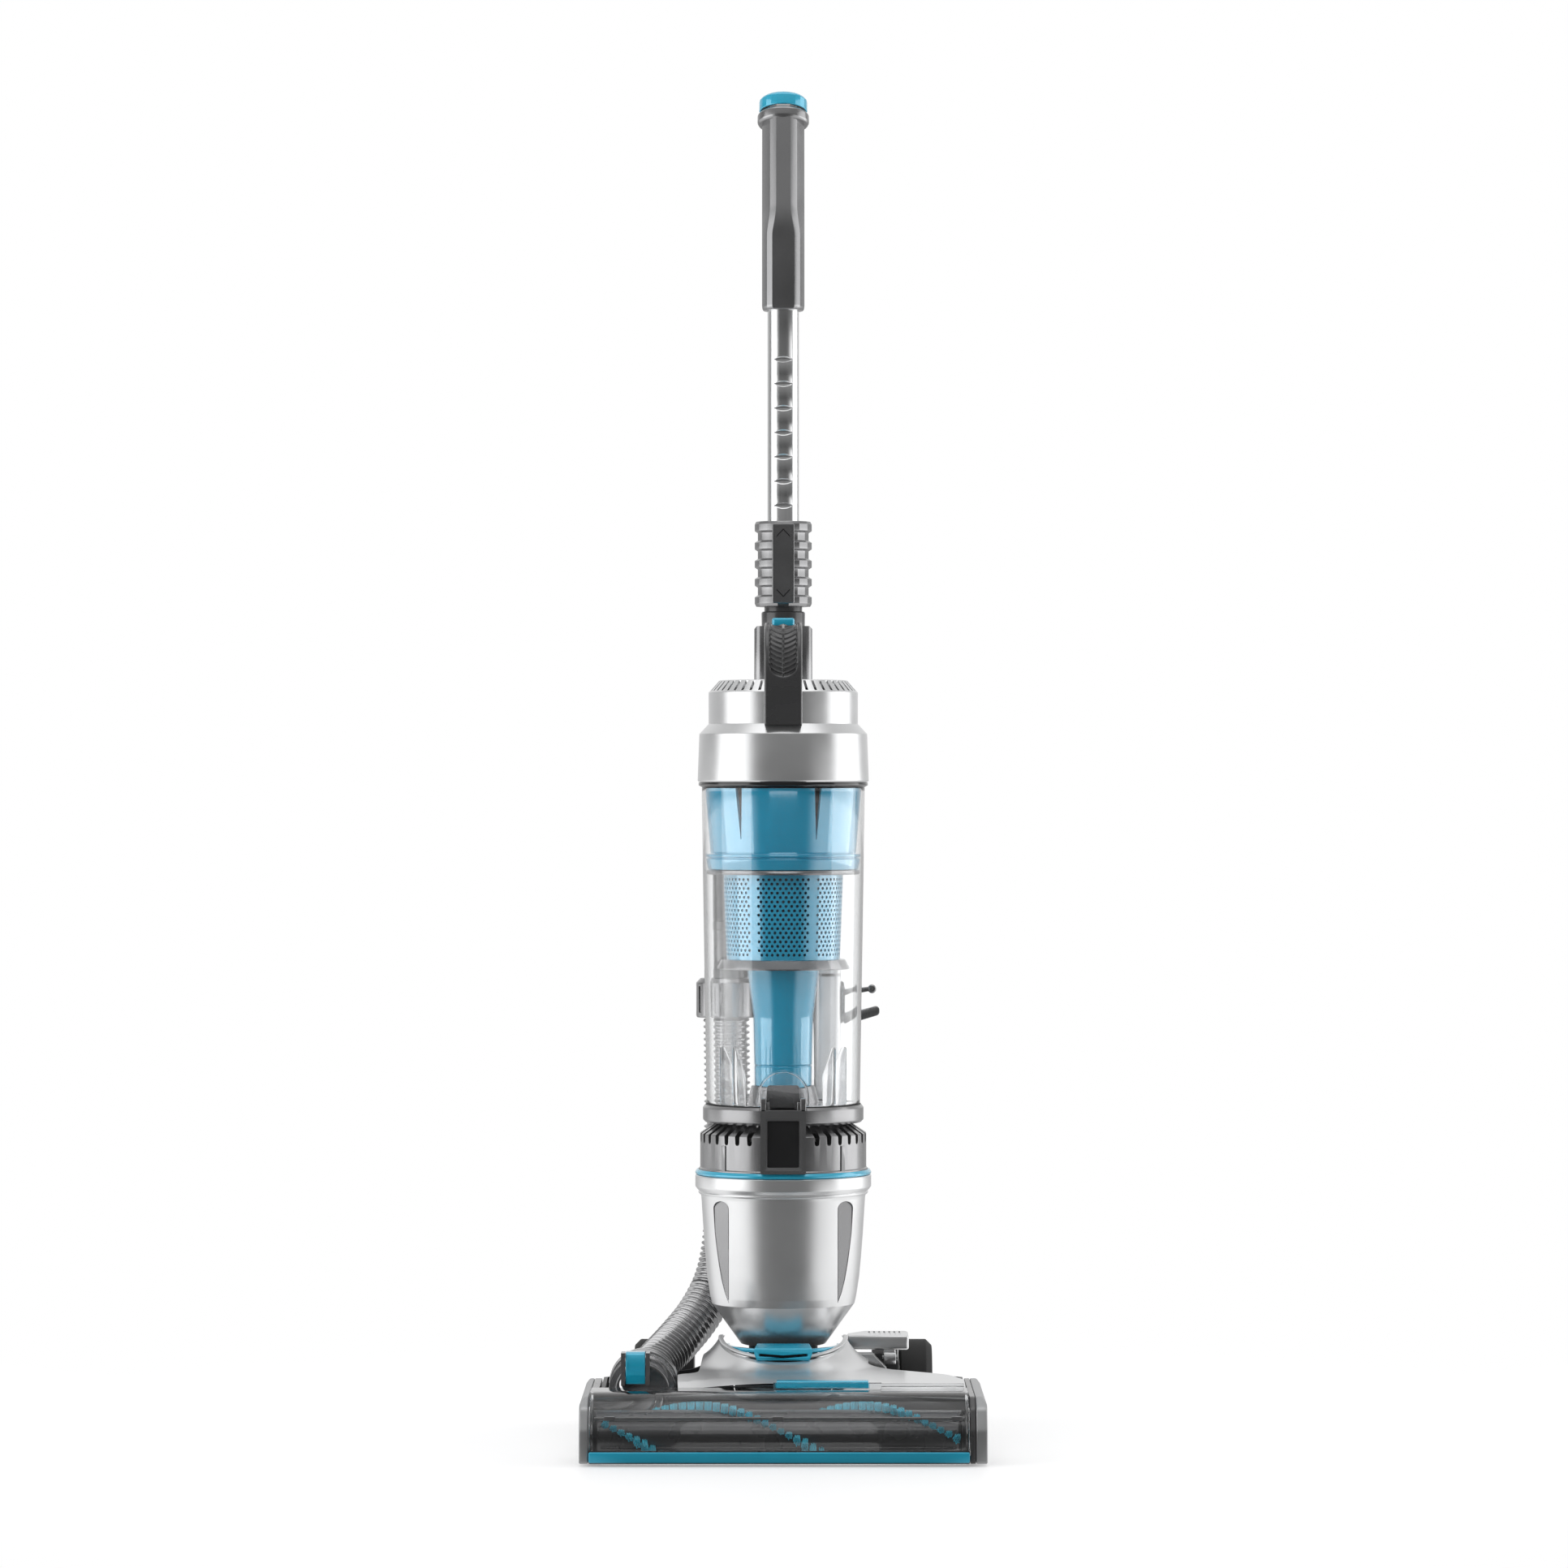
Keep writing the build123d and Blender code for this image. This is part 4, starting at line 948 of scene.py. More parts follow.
def make_neck_trim():
    """Coloured collar in the rim, with a clear-edged nose and its slot."""
    low = span("neck_trim")[0]
    collar = turned("neck_trim", rounded([(42.2, 71.4), (46.1, 71.4, 0.8), (46.1, 74.6, 0.8), (42.2, 74.6)],
        0.4))
    keep = slab("keep", (-60, -60, 0), (60, 3.8, 100), 0, "Z", 0)
    collar = combined(collar, keep, "INTERSECT")
    outline = rounded([(low.y + 0.2, 67.5, 1.6), (-54.5, 76.4, 2.0), (-43, 79.4, 1.0), (-42.4, 62.4),
        (-46, 62.4), (-50, 64.0, 2)], 0.6, 5)
    nose = prism("nose", outline, -22.5, 22.5, "X", 0)
    shape = rounded([(-19.5, 80.0), (19.5, 80.0), (23.3, 74.4, 1.5), (20.3, 66.5, 3), (-20.3, 66.5, 3),
        (-23.3, 74.4, 1.5)], 1.0, 5)
    nose = combined(nose, prism("shape", shape, -62, -38, "Y", 0), "INTERSECT")
    nose = combined(nose, turned("bore", [(0, 50), (42.2, 50), (42.2, 90), (0, 90)]))
    slot = prism("slot", rounded([(-19, 72.4, 0.8), (-19, 70.2, 0.8), (0, 68.8), (19, 70.2, 0.8),
        (19, 72.4, 0.8), (0, 71.0)], 0.2), -60, -50.5, "Y", 0)
    nose = combined(nose, slot)
    nose = bevelled(nose, 0.5, 2)
    dress(joined(collar, nose), TEAL, "floor_head", "neck_trim")
    lining = prism("nose_lining", rounded([(-18, 67.6), (18, 67.6), (18, 73.4), (-18, 73.4)], 1.0),
        -51.4, -49.6, "Y", 0)
    dress(lining, BLACK, "floor_head")


def make_socket():
    """Clear socket for the hose, its ribbed throat, and the dark cuff of the hose behind it."""
    low, high = span("hose_socket")
    x, z = (low.x + high.x) / 2, high.z - 26
    shell = turned("hose_socket", rounded([
        (21, low.y), (26, low.y, 1), (26, low.y + 5, 1), (24.6, low.y + 6.5, 1), (24.6, high.y - 4, 1),
        (25.8, high.y - 3, 1), (25.8, high.y, 1), (21, high.y),
    ], 0.4), (x, 0, z), "Y", 96)
    floor_cut = slab("floor_cut", (x - 40, low.y - 4, -20), (x + 40, high.y + 4, low.z), 0, "Z", 0)
    dress(combined(shell, floor_cut), CLEAR, "floor_head", "hose_socket")
    rings = []
    for number in range(9):
        y = low.y + 3 + number * 4.2
        rings.append(turned("socket_rings", rounded([(18.6, y), (20.7, y, 0.6), (20.7, y + 2.0, 0.6),
            (18.6, y + 2.0)], 0.3), (x, 0, z), "Y", 64))
    dress(joined(*rings), GUNMETAL, "floor_head")
    low, high = span("hose_cuff_lower")
    cuff = turned("hose_cuff_lower", rounded([
        (20.1, low.y), (27, low.y, 1), (27, low.y + 7, 0.8), (26, low.y + 8, 0.5), (26, low.y + 14, 0.5),
        (27, low.y + 15, 0.8), (27, -45.2, 1.5), (23.5, -43, 1), (23.5, high.y, 1.2), (20.1, high.y),
    ], 0.4), (x, 0, z), "Y", 96)
    dress(cuff, GUNMETAL, "floor_head", "hose_cuff_lower")


def make_clip():
    """Coloured sprung clip between two dark cheeks over the socket."""
    repaint(GUNMETAL, "clip_cheeks")
    low, high = span("hose_clip")
    outline = [(-117, 55.2), (-118.8, 62, 6), (-119, 72, 5), (-117, 78.2, 3), (-113, high.z, 2),
        (-105, high.z, 0.8), (-105, 77, 0.8), (-111.5, 76.5, 2), (-113, 72, 3), (-112.5, 55.2)]
    lever = prism("hose_clip", rounded(outline, 0.8, 5), low.x, high.x, "X", 0.7, 3)
    step = slab("step", (low.x + 1.6, -120, 66), (high.x - 1.6, -118.3, 75.5), 0.8, "Y", 0)
    lever = combined(lever, step)
    bore = turned("bore", [(0, low.x - 2), (1.6, low.x - 2), (1.6, high.x + 2), (0, high.x + 2)],
        (0, -115.5, 59), "X", 24)
    dress(combined(lever, bore), TEAL, "hose_clip", "hose_clip")


make_head_cover()
make_soleplate()
make_base()
make_end_cap(-1)
make_end_cap(1)
make_bumper()
make_window()
make_latch()
make_brush()
make_drive()
make_wheel(-1)
make_wheel(1)
make_rollers()
make_pedal()
make_pedal_support()
make_neck_trim()
make_socket()
make_clip()


# ------------------------------------------------------------------- motor part

TUBE_Y = 92.0      # middle line of the column, the tube and the grip

# The bucket's outer line from its foot up, as (radius, height above the foot, corner radius).
HOUSING = [
    (33.0, 0.0, 2.0), (56.0, 32.0, 1.6), (57.3, 38.0, 20), (59.6, 53.0, 60), (61.0, 68.0, 60),
    (62.4, 86.0, 60),
    (64.3, 116.0, 8), (65.6, 119.6, 3), (67.6, 121.8, 1.5), (69.0, 123.6, 1.6), (69.0, 133.0, 1.0),
]
ROLL_TOP = 208.0   # height of the rolled top band


# A side panel's outer edge from its top down to its point, as (sideways, height).
LOUVRE_EDGE = [(54.4, 183.5), (54.0, 176.4), (53.3, 164.3), (51.9, 152.3), (50.2, 140.2), (48.1, 128.2),
    (45.5, 117.8), (42.6, 110.2)]
LOUVRE_NEAR = 42.3                   # its straight edge
LOUVRE_TURN = math.radians(33.0)     # how far its flat face looks outwards
LOUVRE_FOOT = (44.0, -36.0, 110.0)   # a point low on the face, and how it moves for each step up
LOUVRE_RISE = (0.136, 0.0556)


def louvre_outline(side, inset):
    """Straight on the edge nearer the front, bulging outwards, round on top and pointed below."""
    edge = [(x - inset, z + inset * (1.2 if z < 120 else 0.0)) for x, z in LOUVRE_EDGE]
    near = LOUVRE_NEAR + inset
    bend = (edge[0][0] - near) / 2
    top = arc((near + bend, edge[0][1]), bend, 180, 0, 12)
    outline = [(near, edge[-1][1] + 3 * inset)] + top + [point for point in edge[1:] if point[0] > near + 0.2]
    return [(side * x, z) for x, z in outline]


def louvre_block(side, front, depth):
    """A slab behind a side panel's flat face, which looks outwards and follows the taper."""
    out = (side * math.sin(LOUVRE_TURN), -math.cos(LOUVRE_TURN))
    along = (side * math.cos(LOUVRE_TURN), math.sin(LOUVRE_TURN))
    foot_x, foot_y, foot_z = LOUVRE_FOOT
    points = []
    for z in (96.0, 198.0):
        x = side * (foot_x + LOUVRE_RISE[0] * (z - foot_z))
        y = foot_y + LOUVRE_RISE[1] * (z - foot_z)
        for reach, push in ((-40, front), (30, front), (30, front - depth), (-40, front - depth)):
            points.append((x + along[0] * reach + out[0] * push, y + along[1] * reach + out[1] * push, z))
    faces = [(0, 1, 2, 3), (7, 6, 5, 4), (0, 4, 5, 1), (1, 5, 6, 2), (2, 6, 7, 3), (3, 7, 4, 0)]
    return mesh_object("louvre_block", points, faces)


def make_motor_housing():
    """Silver bucket with a crease, a rolled top band and two recessed side panels."""
    low = span("motor_housing")[0]
    outer = [(radius, low.z + height, bend) for radius, height, bend in HOUSING]
    inner = [(66.2, ROLL_TOP), (61.0, low.z + 115), (53.0, low.z + 33), (32.0, low.z + 4), (20.0, low.z + 4),
             (20.0, low.z + 24), (15.2, low.z + 24), (15.2, low.z)]
    outline = rounded(outer + inner, 0.3, 8)
    shell = turned("motor_housing", outline, steps=FINE_STEPS, sharp=24)
    bead = turned("bead", rounded([(63.0, 192.6), (65.6, 192.6, 0.8), (66.8, 194.2, 0.8), (65.6, 195.6),
        (63.0, 195.6)], 0.5), steps=FINE_STEPS)
    skins = {}
    for side, name in ((-1, "louvre_left"), (1, "louvre_right")):
        cutter = prism("cutter", louvre_outline(side, 0.0), -80, -10, "Y", 0)
        shell = combined(shell, combined(cutter, louvre_block(side, 0.0, 80.0)), sharp=24)
        panel = prism(name, louvre_outline(side, 0.5), -80, -10, "Y", 0)
        panel = combined(panel, louvre_block(side, 80.5, 80.0))
        skins[name] = combined(panel, louvre_block(side, -2.5, 80.0))
    shell = bevelled(shell, 0.6, 3, angle=40, sharp=24)
    dress(joined(shell, bead), SILVER, "upright", "motor_housing")
    for name, panel in skins.items():
        dress(panel, GUNMETAL, "upright", "motor_housing")
    repaint(STEEL, "suction_motor")
    repaint(RUBBER, "motor_mounts")
    repaint(PALE, "fan_impeller")
    repaint(FILTER, "exhaust_filter")


def make_neck():
    """Trunnion block, its collar and the post."""
    low, high = span("neck_pivot")
    hub = turned("neck_pivot", rounded([(5.1, low.x), (13.5, low.x, 1), (16, low.x + 2.5, 0.8),
        (16, high.x - 2.5, 0.8), (13.5, high.x, 1), (5.1, high.x)], 0.3), (0, 0, 48), "X", 96)
    ring = rounded([(0, 50), (24, 50), (27, 54, 2), (27, 62, 0.6), (26.2, 63, 0.5), (26.2, 66, 0.5),
        (27, 67, 0.6), (27, 74.4, 1.0), (15, 74.4), (15, 99.8, 0.8), (0, 99.8)], 0.6)
    dress(joined(hub, turned("ring", ring)), BLACK, "neck", "neck_pivot", slot="dark_plastic")


def make_trim_ring():
    """Coloured ring between the bucket and the collar."""
    profile = rounded([(66.4, ROLL_TOP + 0.2), (68.2, ROLL_TOP + 0.2, 0.4), (69.0, ROLL_TOP + 1.0, 0.6),
        (69.0, ROLL_TOP + 2.2, 0.6), (67.6, ROLL_TOP + 4.2, 0.5), (66.4, ROLL_TOP + 4.2)], 0.2)
    ring = turned("trim_ring", profile, steps=FINE_STEPS)
    dress(ring, TEAL, "upright", "trim_ring")


def make_vent_collar():
    """Dark slotted collar with a slanting top, and two upright ribs on its front."""
    low, high = span("vent_collar")
    top = high.z
    profile = rounded([
        (66.1, low.z), (66.1, low.z + 8.4, 0.4), (65.2, low.z + 9.2, 0.3), (65.2, top - 8.2, 0.9),
        (54.0, top - 0.6, 0.8), (53.0, top, 0.4), (30, top), (30, top - 4.6), (50, top - 4.6),
        (59.4, top - 12.6), (59.4, low.z),
    ], 0.4, 5)
    count = 38
    collar = turned("vent_collar", profile, steps=6 * count)
    pitch = 360 / count
    shape = arc((0.0, top - 13.4), 1.9, 180, 360, 8) + [(2.4, top - 4), (2.4, top + 3), (-2.4, top + 3),
        (-2.4, top - 4)]
    slot = radial_prism("slot", shape, 50.5, 70)
    angles = [(n + 0.5) * pitch for n in range(count)]
    angles = [a for a in angles if min(a, 360 - a) > 16 and abs(a - 180) > 18]
    collar = combined(collar, around(slot, angles))
    ribs = []
    for side in (-1, 1):
        shape = rounded([(-2.0, low.z + 8), (2.0, low.z + 8), (2.0, top - 15.6, 0.8),
            (-2.0, top - 15.6, 0.8)], 0.2)
        rib = bevelled(radial_prism("rib", shape, 63, 66.1), 0.4, 2)
        ribs.append(spun(rib, side * 45))
    dress(joined(collar, *ribs), GUNMETAL, "upright", "vent_collar")
    liner = turned("collar_liner", rounded([(49.6, low.z + 4), (58.6, low.z + 4), (58.6, top - 14.0),
        (50.6, top - 6.4), (49.6, top - 6.4)], 0.3))
    dress(liner, BLACK, "upright")


def make_bracket():
    """Channel on the collar's front: two rails with a deep recess, and the prongs above it."""
    low, high = span("bin_bracket")
    plate = slab("bin_bracket", (low.x, low.y, low.z), (high.x, -60.0, 262.0), 1.2, "Y", 0)
    recess_low, recess_high = (-12.3, low.y - 2, low.z + 5), (12.3, low.y + 4.6, 253.5)
    recess = slab("recess", recess_low, recess_high, 1.0, "Y", 0)
    plate = combined(plate, recess)
    flare = prism("flare", rounded([(-14.0, low.z + 3.4), (14.0, low.z + 3.4), (13.4, 255), (-13.4, 255)],
        1.0), low.y - 1, low.y + 1.6, "Y", 0)
    plate = combined(plate, flare)
    plate = combined(plate, turned("bore", [(0, 200), (65.3, 200), (65.3, 262.5), (0, 262.5)]))
    plate = bevelled(plate, 0.5, 2)
    prongs = [slab("prong", (13.3, low.y, 260.5), (high.x, -63.9, high.z), 0.8, "Z", 0.9, 3)]
    prongs.append(slab("inner", (10.6, low.y + 3.2, 259.0), (13.6, -63.9, high.z - 3.0), 0.6, "Z", 0.5, 2))
    prong = mirrored(joined(*prongs))
    dress(joined(plate, prong), GUNMETAL, "upright", "bin_bracket")
    lining = slab("bracket_lining", (-11.9, low.y + 3.6, low.z + 5.4), (11.9, low.y + 4.7, 253.1),
        0.8, "Y", 0)
    dress(lining, BLACK, "upright")


def make_spine():
    """Column behind the bin with ribbed back cover, and its shouldered head."""
    low, high = span("spine")
    y = TUBE_Y
    plan = rounded([(-18.5, y - 19), (18.5, y - 19), (18.5, y + 19, 8), (-18.5, y + 19, 8)], 6.0, 6)
    post = prism("spine", plan, low.z, high.z, "Z", 0.8, 2)
    groove_outline = rounded([(-14.6, y + 17.4), (14.6, y + 17.4), (14.6, y + 22), (-14.6, y + 22)], 0.5)
    for z in (262.0, 384.0, 506.0):
        post = combined(post, prism("groove", groove_outline, z, z + 1.6, "Z", 0))
    inlay = rounded([(-9.5, 268), (9.5, 268), (9.5, 590), (-9.5, 590)], 6.0, 6)
    post = combined(post, prism("channel", inlay, y + 18.2, y + 24, "Y", 0))
    foot = slab("foot", (-18.5, 64.5, 213.2), (18.5, 76, 238.8), 1.0, "Y", 0.6)
    dress(joined(post, foot), CHARCOAL, "upright", "spine")
    inset = prism("spine_inset", rounded([(-8.8, 268.8), (8.8, 268.8), (8.8, 589.2), (-8.8, 589.2)],
        5.5, 6), y + 17.6, y + 18.7, "Y", 0.3)
    dress(inset, SILVER, "upright")
    low, high = span("spine_head")
    plan = rounded([(-23.2, y - 23), (23.2, y - 23), (23.2, y + 23), (-23.2, y + 23)], 7.0, 7)
    head = prism("spine_head", plan, low.z, high.z, "Z", 0)
    crown = prism("crown", rounded([(-30, low.z - 5), (30, low.z - 5), (30, 634, 0), (23.4, 637.4, 1),
        (21.0, high.z, 1), (-21.0, high.z, 1), (-23.4, 637.4, 1), (-30, 634, 0)], 0.5),
        y - 30, y + 30, "Y", 0)
    head = combined(head, crown, "INTERSECT")
    head = combined(head, turned("bore", [(0, 590), (15.1, 590), (15.1, 650), (0, 650)], (0, y, 0), steps=96))
    switch_seat = slab("seat", (-8.8, y + 19.8, 601.3), (8.8, y + 26, 612.7), 1.2, "Y", 0)
    pin_seat = turned("seat", [(0, y + 20.4), (2.6, y + 20.4), (2.6, y + 26), (0, y + 26)], (0, 0, 624),
        "Y", 32)
    head = combined(combined(head, switch_seat), pin_seat)
    dress(bevelled(head, 0.7, 3), GUNMETAL, "upright", "spine_head")
    low, high = span("outer_tube")
    tube = rounded([(12.75, low.z), (15, low.z), (15, 639), (17.3, 640.3, 0.3), (17.5, 651.0, 0.8),
        (16.6, 652.0, 0.4), (15.2, 652.0), (15.2, high.z, 0.4), (12.75, high.z)], 0.1)
    dress(turned("outer_tube", tube, (0, y, 0), steps=96), CHARCOAL, "upright", "outer_tube")


def make_ducts():
    """The hose's upper cuff, the riser above it and the changeover box with its spout."""
    low, high = span("hose_cuff_upper")
    x, y = (low.x + high.x) / 2, (low.y + high.y) / 2
    radius = (high.x - low.x) / 2
    cuff = rounded([(14.6, low.z + 1.4), (radius - 3.0, low.z + 1.4), (radius - 3.0, low.z),
        (radius - 0.6, low.z, 0.6), (radius, low.z + 1.5, 0.6), (radius, high.z - 3.5, 1.2),
        (radius - 3.4, high.z, 1.0), (14.6, high.z)], 0.3)
    flats = []
    piece = turned("hose_cuff_upper", cuff, (x, y, 0), steps=96)
    for number in range(12):
        flat = slab("flat", (x - 2.2, y - radius - 1, low.z + 4), (x + 2.2, y - radius + 0.9, high.z - 6),
            1.0, "Y", 0)
        flats.append(spun(flat, 30 * number, "Z", (x, y, 0)))
    piece = combined(piece, joined(*flats))
    dress(piece, GUNMETAL, "upright", "hose_cuff_upper")
    high = span("inlet_duct")[1]
    riser = rounded([(13.6, 359.4), (17, 359.4), (17, 366, 0.5), (16.2, 367, 0.3), (16.2, 397, 0.3),
        (17, 398, 0.5), (17, 404.5), (13.6, 404.5)], 0.2)
    riser = turned("inlet_duct", riser, (x, y, 0), steps=96)
    plan = rounded([(x - 16, y - 13), (x + 20, y - 13), (x + 20, y + 21), (x - 16, y + 21)], 5.0, 6)
    box = prism("box", plan, 404.2, high.z, "Z", 2.0, 3)
    lid_seam = prism("seam", rounded([(x - 17, y - 14), (x + 21, y - 14), (x + 21, y + 22),
        (x - 17, y + 22)], 6.0, 6), 436, 437, "Z", 0)
    inside = prism("inside", rounded([(x - 15.2, y - 12.2), (x + 19.2, y - 12.2), (x + 19.2, y + 20.2),
        (x - 15.2, y + 20.2)], 4.5, 6), 435, 438, "Z", 0)
    box = combined(box, combined(lid_seam, inside))
    link = slab("link", (-33, 82.5, 410.5), (-19, 97.5, 439.5), 1.5, "X", 0.6)
    spout = slab("spout", (-46, 61.5, 413.2), (-28, 70.5, 436.8), 1.6, "Y", 0.6)
    spun(spout, 29, "Z", (-37, 66, 425))
    bore = turned("bore", [(0, 380), (66.6, 380), (66.6, 460), (0, 460)])
    spout = combined(spout, bore)
    dress(joined(riser, box, link, spout), CHARCOAL, "upright", "inlet_duct")


def make_tool():
    """Crevice tool: slim oval body that thins towards its mouth."""
    low, high = span("crevice_tool")
    x, y = (low.x + high.x) / 2, (low.y + high.y) / 2
    levels = [(low.z, 0.42), (low.z + 2, 0.45), (low.z + 30, 0.62), (high.z - 52, 0.97), (high.z - 44, 1.0),
        (high.z - 3, 1.0), (high.z, 0.96)]
    points = []
    ring = rounded([(-12, -10), (12, -10), (12, 10), (-12, 10)], 7.0, 7)
    hole = rounded([(-10, -8), (10, -8), (10, 8), (-10, 8)], 5.6, 7)
    stations = [(z, depth, ring) for z, depth in levels]
    stations += [(z, depth, hole) for z, depth in reversed(levels)]
    for z, depth, outline in stations:
        for a, b in outline:
            points.append((x + a * (0.9 + 0.1 * depth), y + b * depth, z))
    tool = mesh_object("crevice_tool", points, ring_faces(len(stations), len(ring), loop=True), 40)
    collar = prism("collar", [(x + a, y + b) for a, b in ring], high.z - 12, high.z - 9, "Z", 0.3)
    inner = prism("inner", [(x + a, y + b) for a, b in hole], high.z - 14, high.z - 7, "Z", 0)
    dress(joined(tool, combined(collar, inner)), PALE, "crevice_tool", "crevice_tool", slot="light_plastic")


def make_hooks():
    """Tool holder with the lower cable hook, the swinging upper hook, switch and cord gland."""
    low, high = span("tool_hook")
    plate = slab("tool_hook", (18.8, 97.2, 322), (53, 102, 356), 3.0, "Y", 0.8)
    cheek = slab("cheek", (49.8, 80, 326), (53, 101, 352), 2.0, "X", 0.6)
    upper = prism("upper", rounded([(52.5, 344.6), (60, 346.6), (71, 348.6), (71, 352, 1.5), (60, 350.6),
        (52.5, 349.4)], 1.0), 84.5, 95.5, "Y", 0.8)
    knob = turned("knob", rounded([(0, 84), (2.6, 84, 1), (3.4, 85.2, 0.8), (3.4, 94.8, 0.8), (2.6, 96, 1),
        (0, 96)], 0.2), (71, 0, 350), "Y", 32)
    lower = prism("lower", rounded([(52.5, 322.4), (54.5, 322.6), (high.x, 329.4, 3), (high.x, 337, 3),
        (54.5, 331), (52.5, 331)], 1.0), 84.5, 95.5, "Y", 0.9)
    wedge = prism("wedge", rounded([(52.5, 326), (55.5, 322.4), (52.5, 322.4)], 0.5), 86, 94, "Y", 0.4)
    dress(joined(plate, cheek, upper, knob, lower, wedge), GUNMETAL, "upright", "tool_hook")
    low, high = span("cable_hook_upper")
    z = 624.0
    disc = turned("cable_hook_upper", rounded([(2.6, low.y), (8, low.y, 0.6), (8, low.y + 4.4, 1.2),
        (5.0, low.y + 4.8, 0.8), (4.4, low.y + 3.8, 0.5), (2.6, low.y + 3.8)], 0.3), (0, 0, z), "Y", 64)
    arm = slab("arm", (-9, low.y + 0.2, z + 5.5), (9, low.y + 4.6, high.z), 4.0, "Y", 0.8)
    shelf = slab("shelf", (-9, low.y + 3, 631.2), (9, high.y, 635.8), 1.5, "X", 0.7)
    tip = slab("tip", (-9, high.y - 2.4, 631.2), (9, high.y, high.z), 3.5, "Y", 0.7)
    dress(joined(disc, arm, shelf, tip), CHARCOAL, "cable_hook", "cable_hook_upper")
    low, high = span("power_switch")
    key = slab("power_switch", low, high, 1.6, "Y", 1.0, 3)
    dot = turned("dot", rounded([(1.4, high.y - 0.4), (2.2, high.y - 0.4), (2.2, high.y + 0.0),
        (1.4, high.y + 0.0)], 0.1), (0, 0, (low.z + high.z) / 2), "Y", 32)
    dress(joined(key, dot), TEAL, "power_switch", "power_switch")
    low, high = span("cord_gland")
    y0 = low.y
    rings = [(3.7, y0), (9, y0, 0.8), (9, y0 + 2.6, 0.8), (7, y0 + 3.2, 0.4)]
    for number in range(4):
        start = y0 + 4.0 + number * 2.3
        size = 6.9 - number * 0.5
        rings += [(size, start, 0.3), (size, start + 1.4, 0.3), (size - 1.0, start + 1.6, 0.2),
            (size - 1.0, start + 2.1, 0.2)]
    rings += [(4.8, high.y, 0.4), (3.7, high.y)]
    dress(turned("cord_gland", rounded(rings, 0.1), (0, 0, 232), "Y", 48), RUBBER, "upright", "cord_gland")


make_motor_housing()
make_neck()
make_trim_ring()
make_vent_collar()
make_bracket()
make_spine()
make_ducts()
make_tool()
make_hooks()


# ---------------------------------------------------------------- tube and grip

GRIP_BEND = 965.0                # height of the grip's bend
GRIP_LEAN = math.radians(15.0)   # how far it leans back above it
GRIP_LENGTH = 93.0               # from the bend up to the cap


def chevron(z, rise, name):
    """A thin V on the height collar's pad."""
    half, thick = 5.3, 0.9
    outline = [(-half, z), (0, z + rise), (half, z), (half, z + thick * 1.35), (0, z + rise + thick * 1.35),
        (-half, z + thick * 1.35)]
    return prism(name, outline, TUBE_Y - 23.75, TUBE_Y - 22.6, "Y", 0)


def make_height_collar():
    """Ribbed sleeve with a flat pad in front, marked with an up and a down arrow."""
    low, high = span("height_collar")
    ridge, valley, pitch = 23.25, 20.75, 14.55
    outline = [(15.4, low.z), (ridge - 1.2, low.z, 0.6)]
    for number in range(5):
        middle = low.z + 4.9 + pitch * number
        outline += [(ridge, middle - 2.6, 0.7), (ridge, middle + 2.6, 0.7)]
        if number < 4:
            outline += [(valley, middle + 4.1, 0.7), (valley, middle + pitch - 4.1, 0.7)]
    outline += [(ridge - 1.2, high.z, 0.6), (15.4, high.z)]
    sleeve = turned("height_collar", rounded(outline, 0.3), (0, TUBE_Y, 0), steps=16, sharp=12)
    spun(sleeve, 11.25, "Z", (0, TUBE_Y, 0))
    fit = bevelled(sleeve, 0.35, 2, angle=18, sharp=24)
    pad = slab("pad", (-8.8, TUBE_Y - 23.2, low.z + 2.2), (8.8, TUBE_Y - 16.5, high.z - 2.2),
        1.0, "Y", 0.7, 3)
    groove = slab("groove", (-7.6, TUBE_Y - 24, low.z + 4.0), (7.6, TUBE_Y - 22.85, high.z - 4.0),
        0.8, "Y", 0)
    pad = combined(pad, groove)
    dress(joined(fit, pad), GUNMETAL, "height_collar", "height_collar")
    # The arrows are real marks; their black inlay is painted shade standing in for the dark of engraved
    # grooves.
    arrow_groove_shade = joined(chevron(high.z - 13.0, 5.6, "height_arrows"), chevron(low.z + 12.5, -5.6, "down"))
    arrow_groove_shade.data.transform(Matrix.Translation((0, 0.0007, 0)))
    dress(arrow_groove_shade, BLACK, "height_collar", "height_collar")


def make_tube():
    """Bright telescopic tube with a row of stop notches down its front."""
    low, high = span("tele_tube")
    radius = (high.x - low.x) / 2
    profile = rounded([(radius - 3.4, low.z), (radius, low.z, 0.4), (radius, high.z, 0.4),
        (radius - 3.4, high.z)], 0.1)
    tube = turned("tele_tube", profile, (0, TUBE_Y, 0), steps=96)
    front = TUBE_Y - radius
    notches = []
    for number in range(7):
        z = 736.5 + 19.5 * number
        wedge = [(front - 2, z - 4.4), (front + 2.3, z - 0.35), (front + 2.3, z + 0.35), (front - 2, z + 4.4)]
        notches.append(prism("notch", wedge, -15, 15, "X", 0))
    tube = combined(tube, joined(*notches))
    dress(bevelled(tube, 0.2, 2, angle=25), ALUMINIUM, "handle", "tele_tube")


def grip_ring(flat, strip, side):
    """Bevelled section of the hand grip, as (sideways, forward) points, from its front flat round."""
    edge = -19.0 + 0.82 * (strip - flat)
    quarter = [(0, -19.0), (flat, -19.0), (strip, edge), (17.0, -side), (17.0, 0)]
    right = quarter + [(x, -y) for x, y in reversed(quarter[:-1])]
    return right + [(-x, y) for x, y in reversed(right[1:-1])]


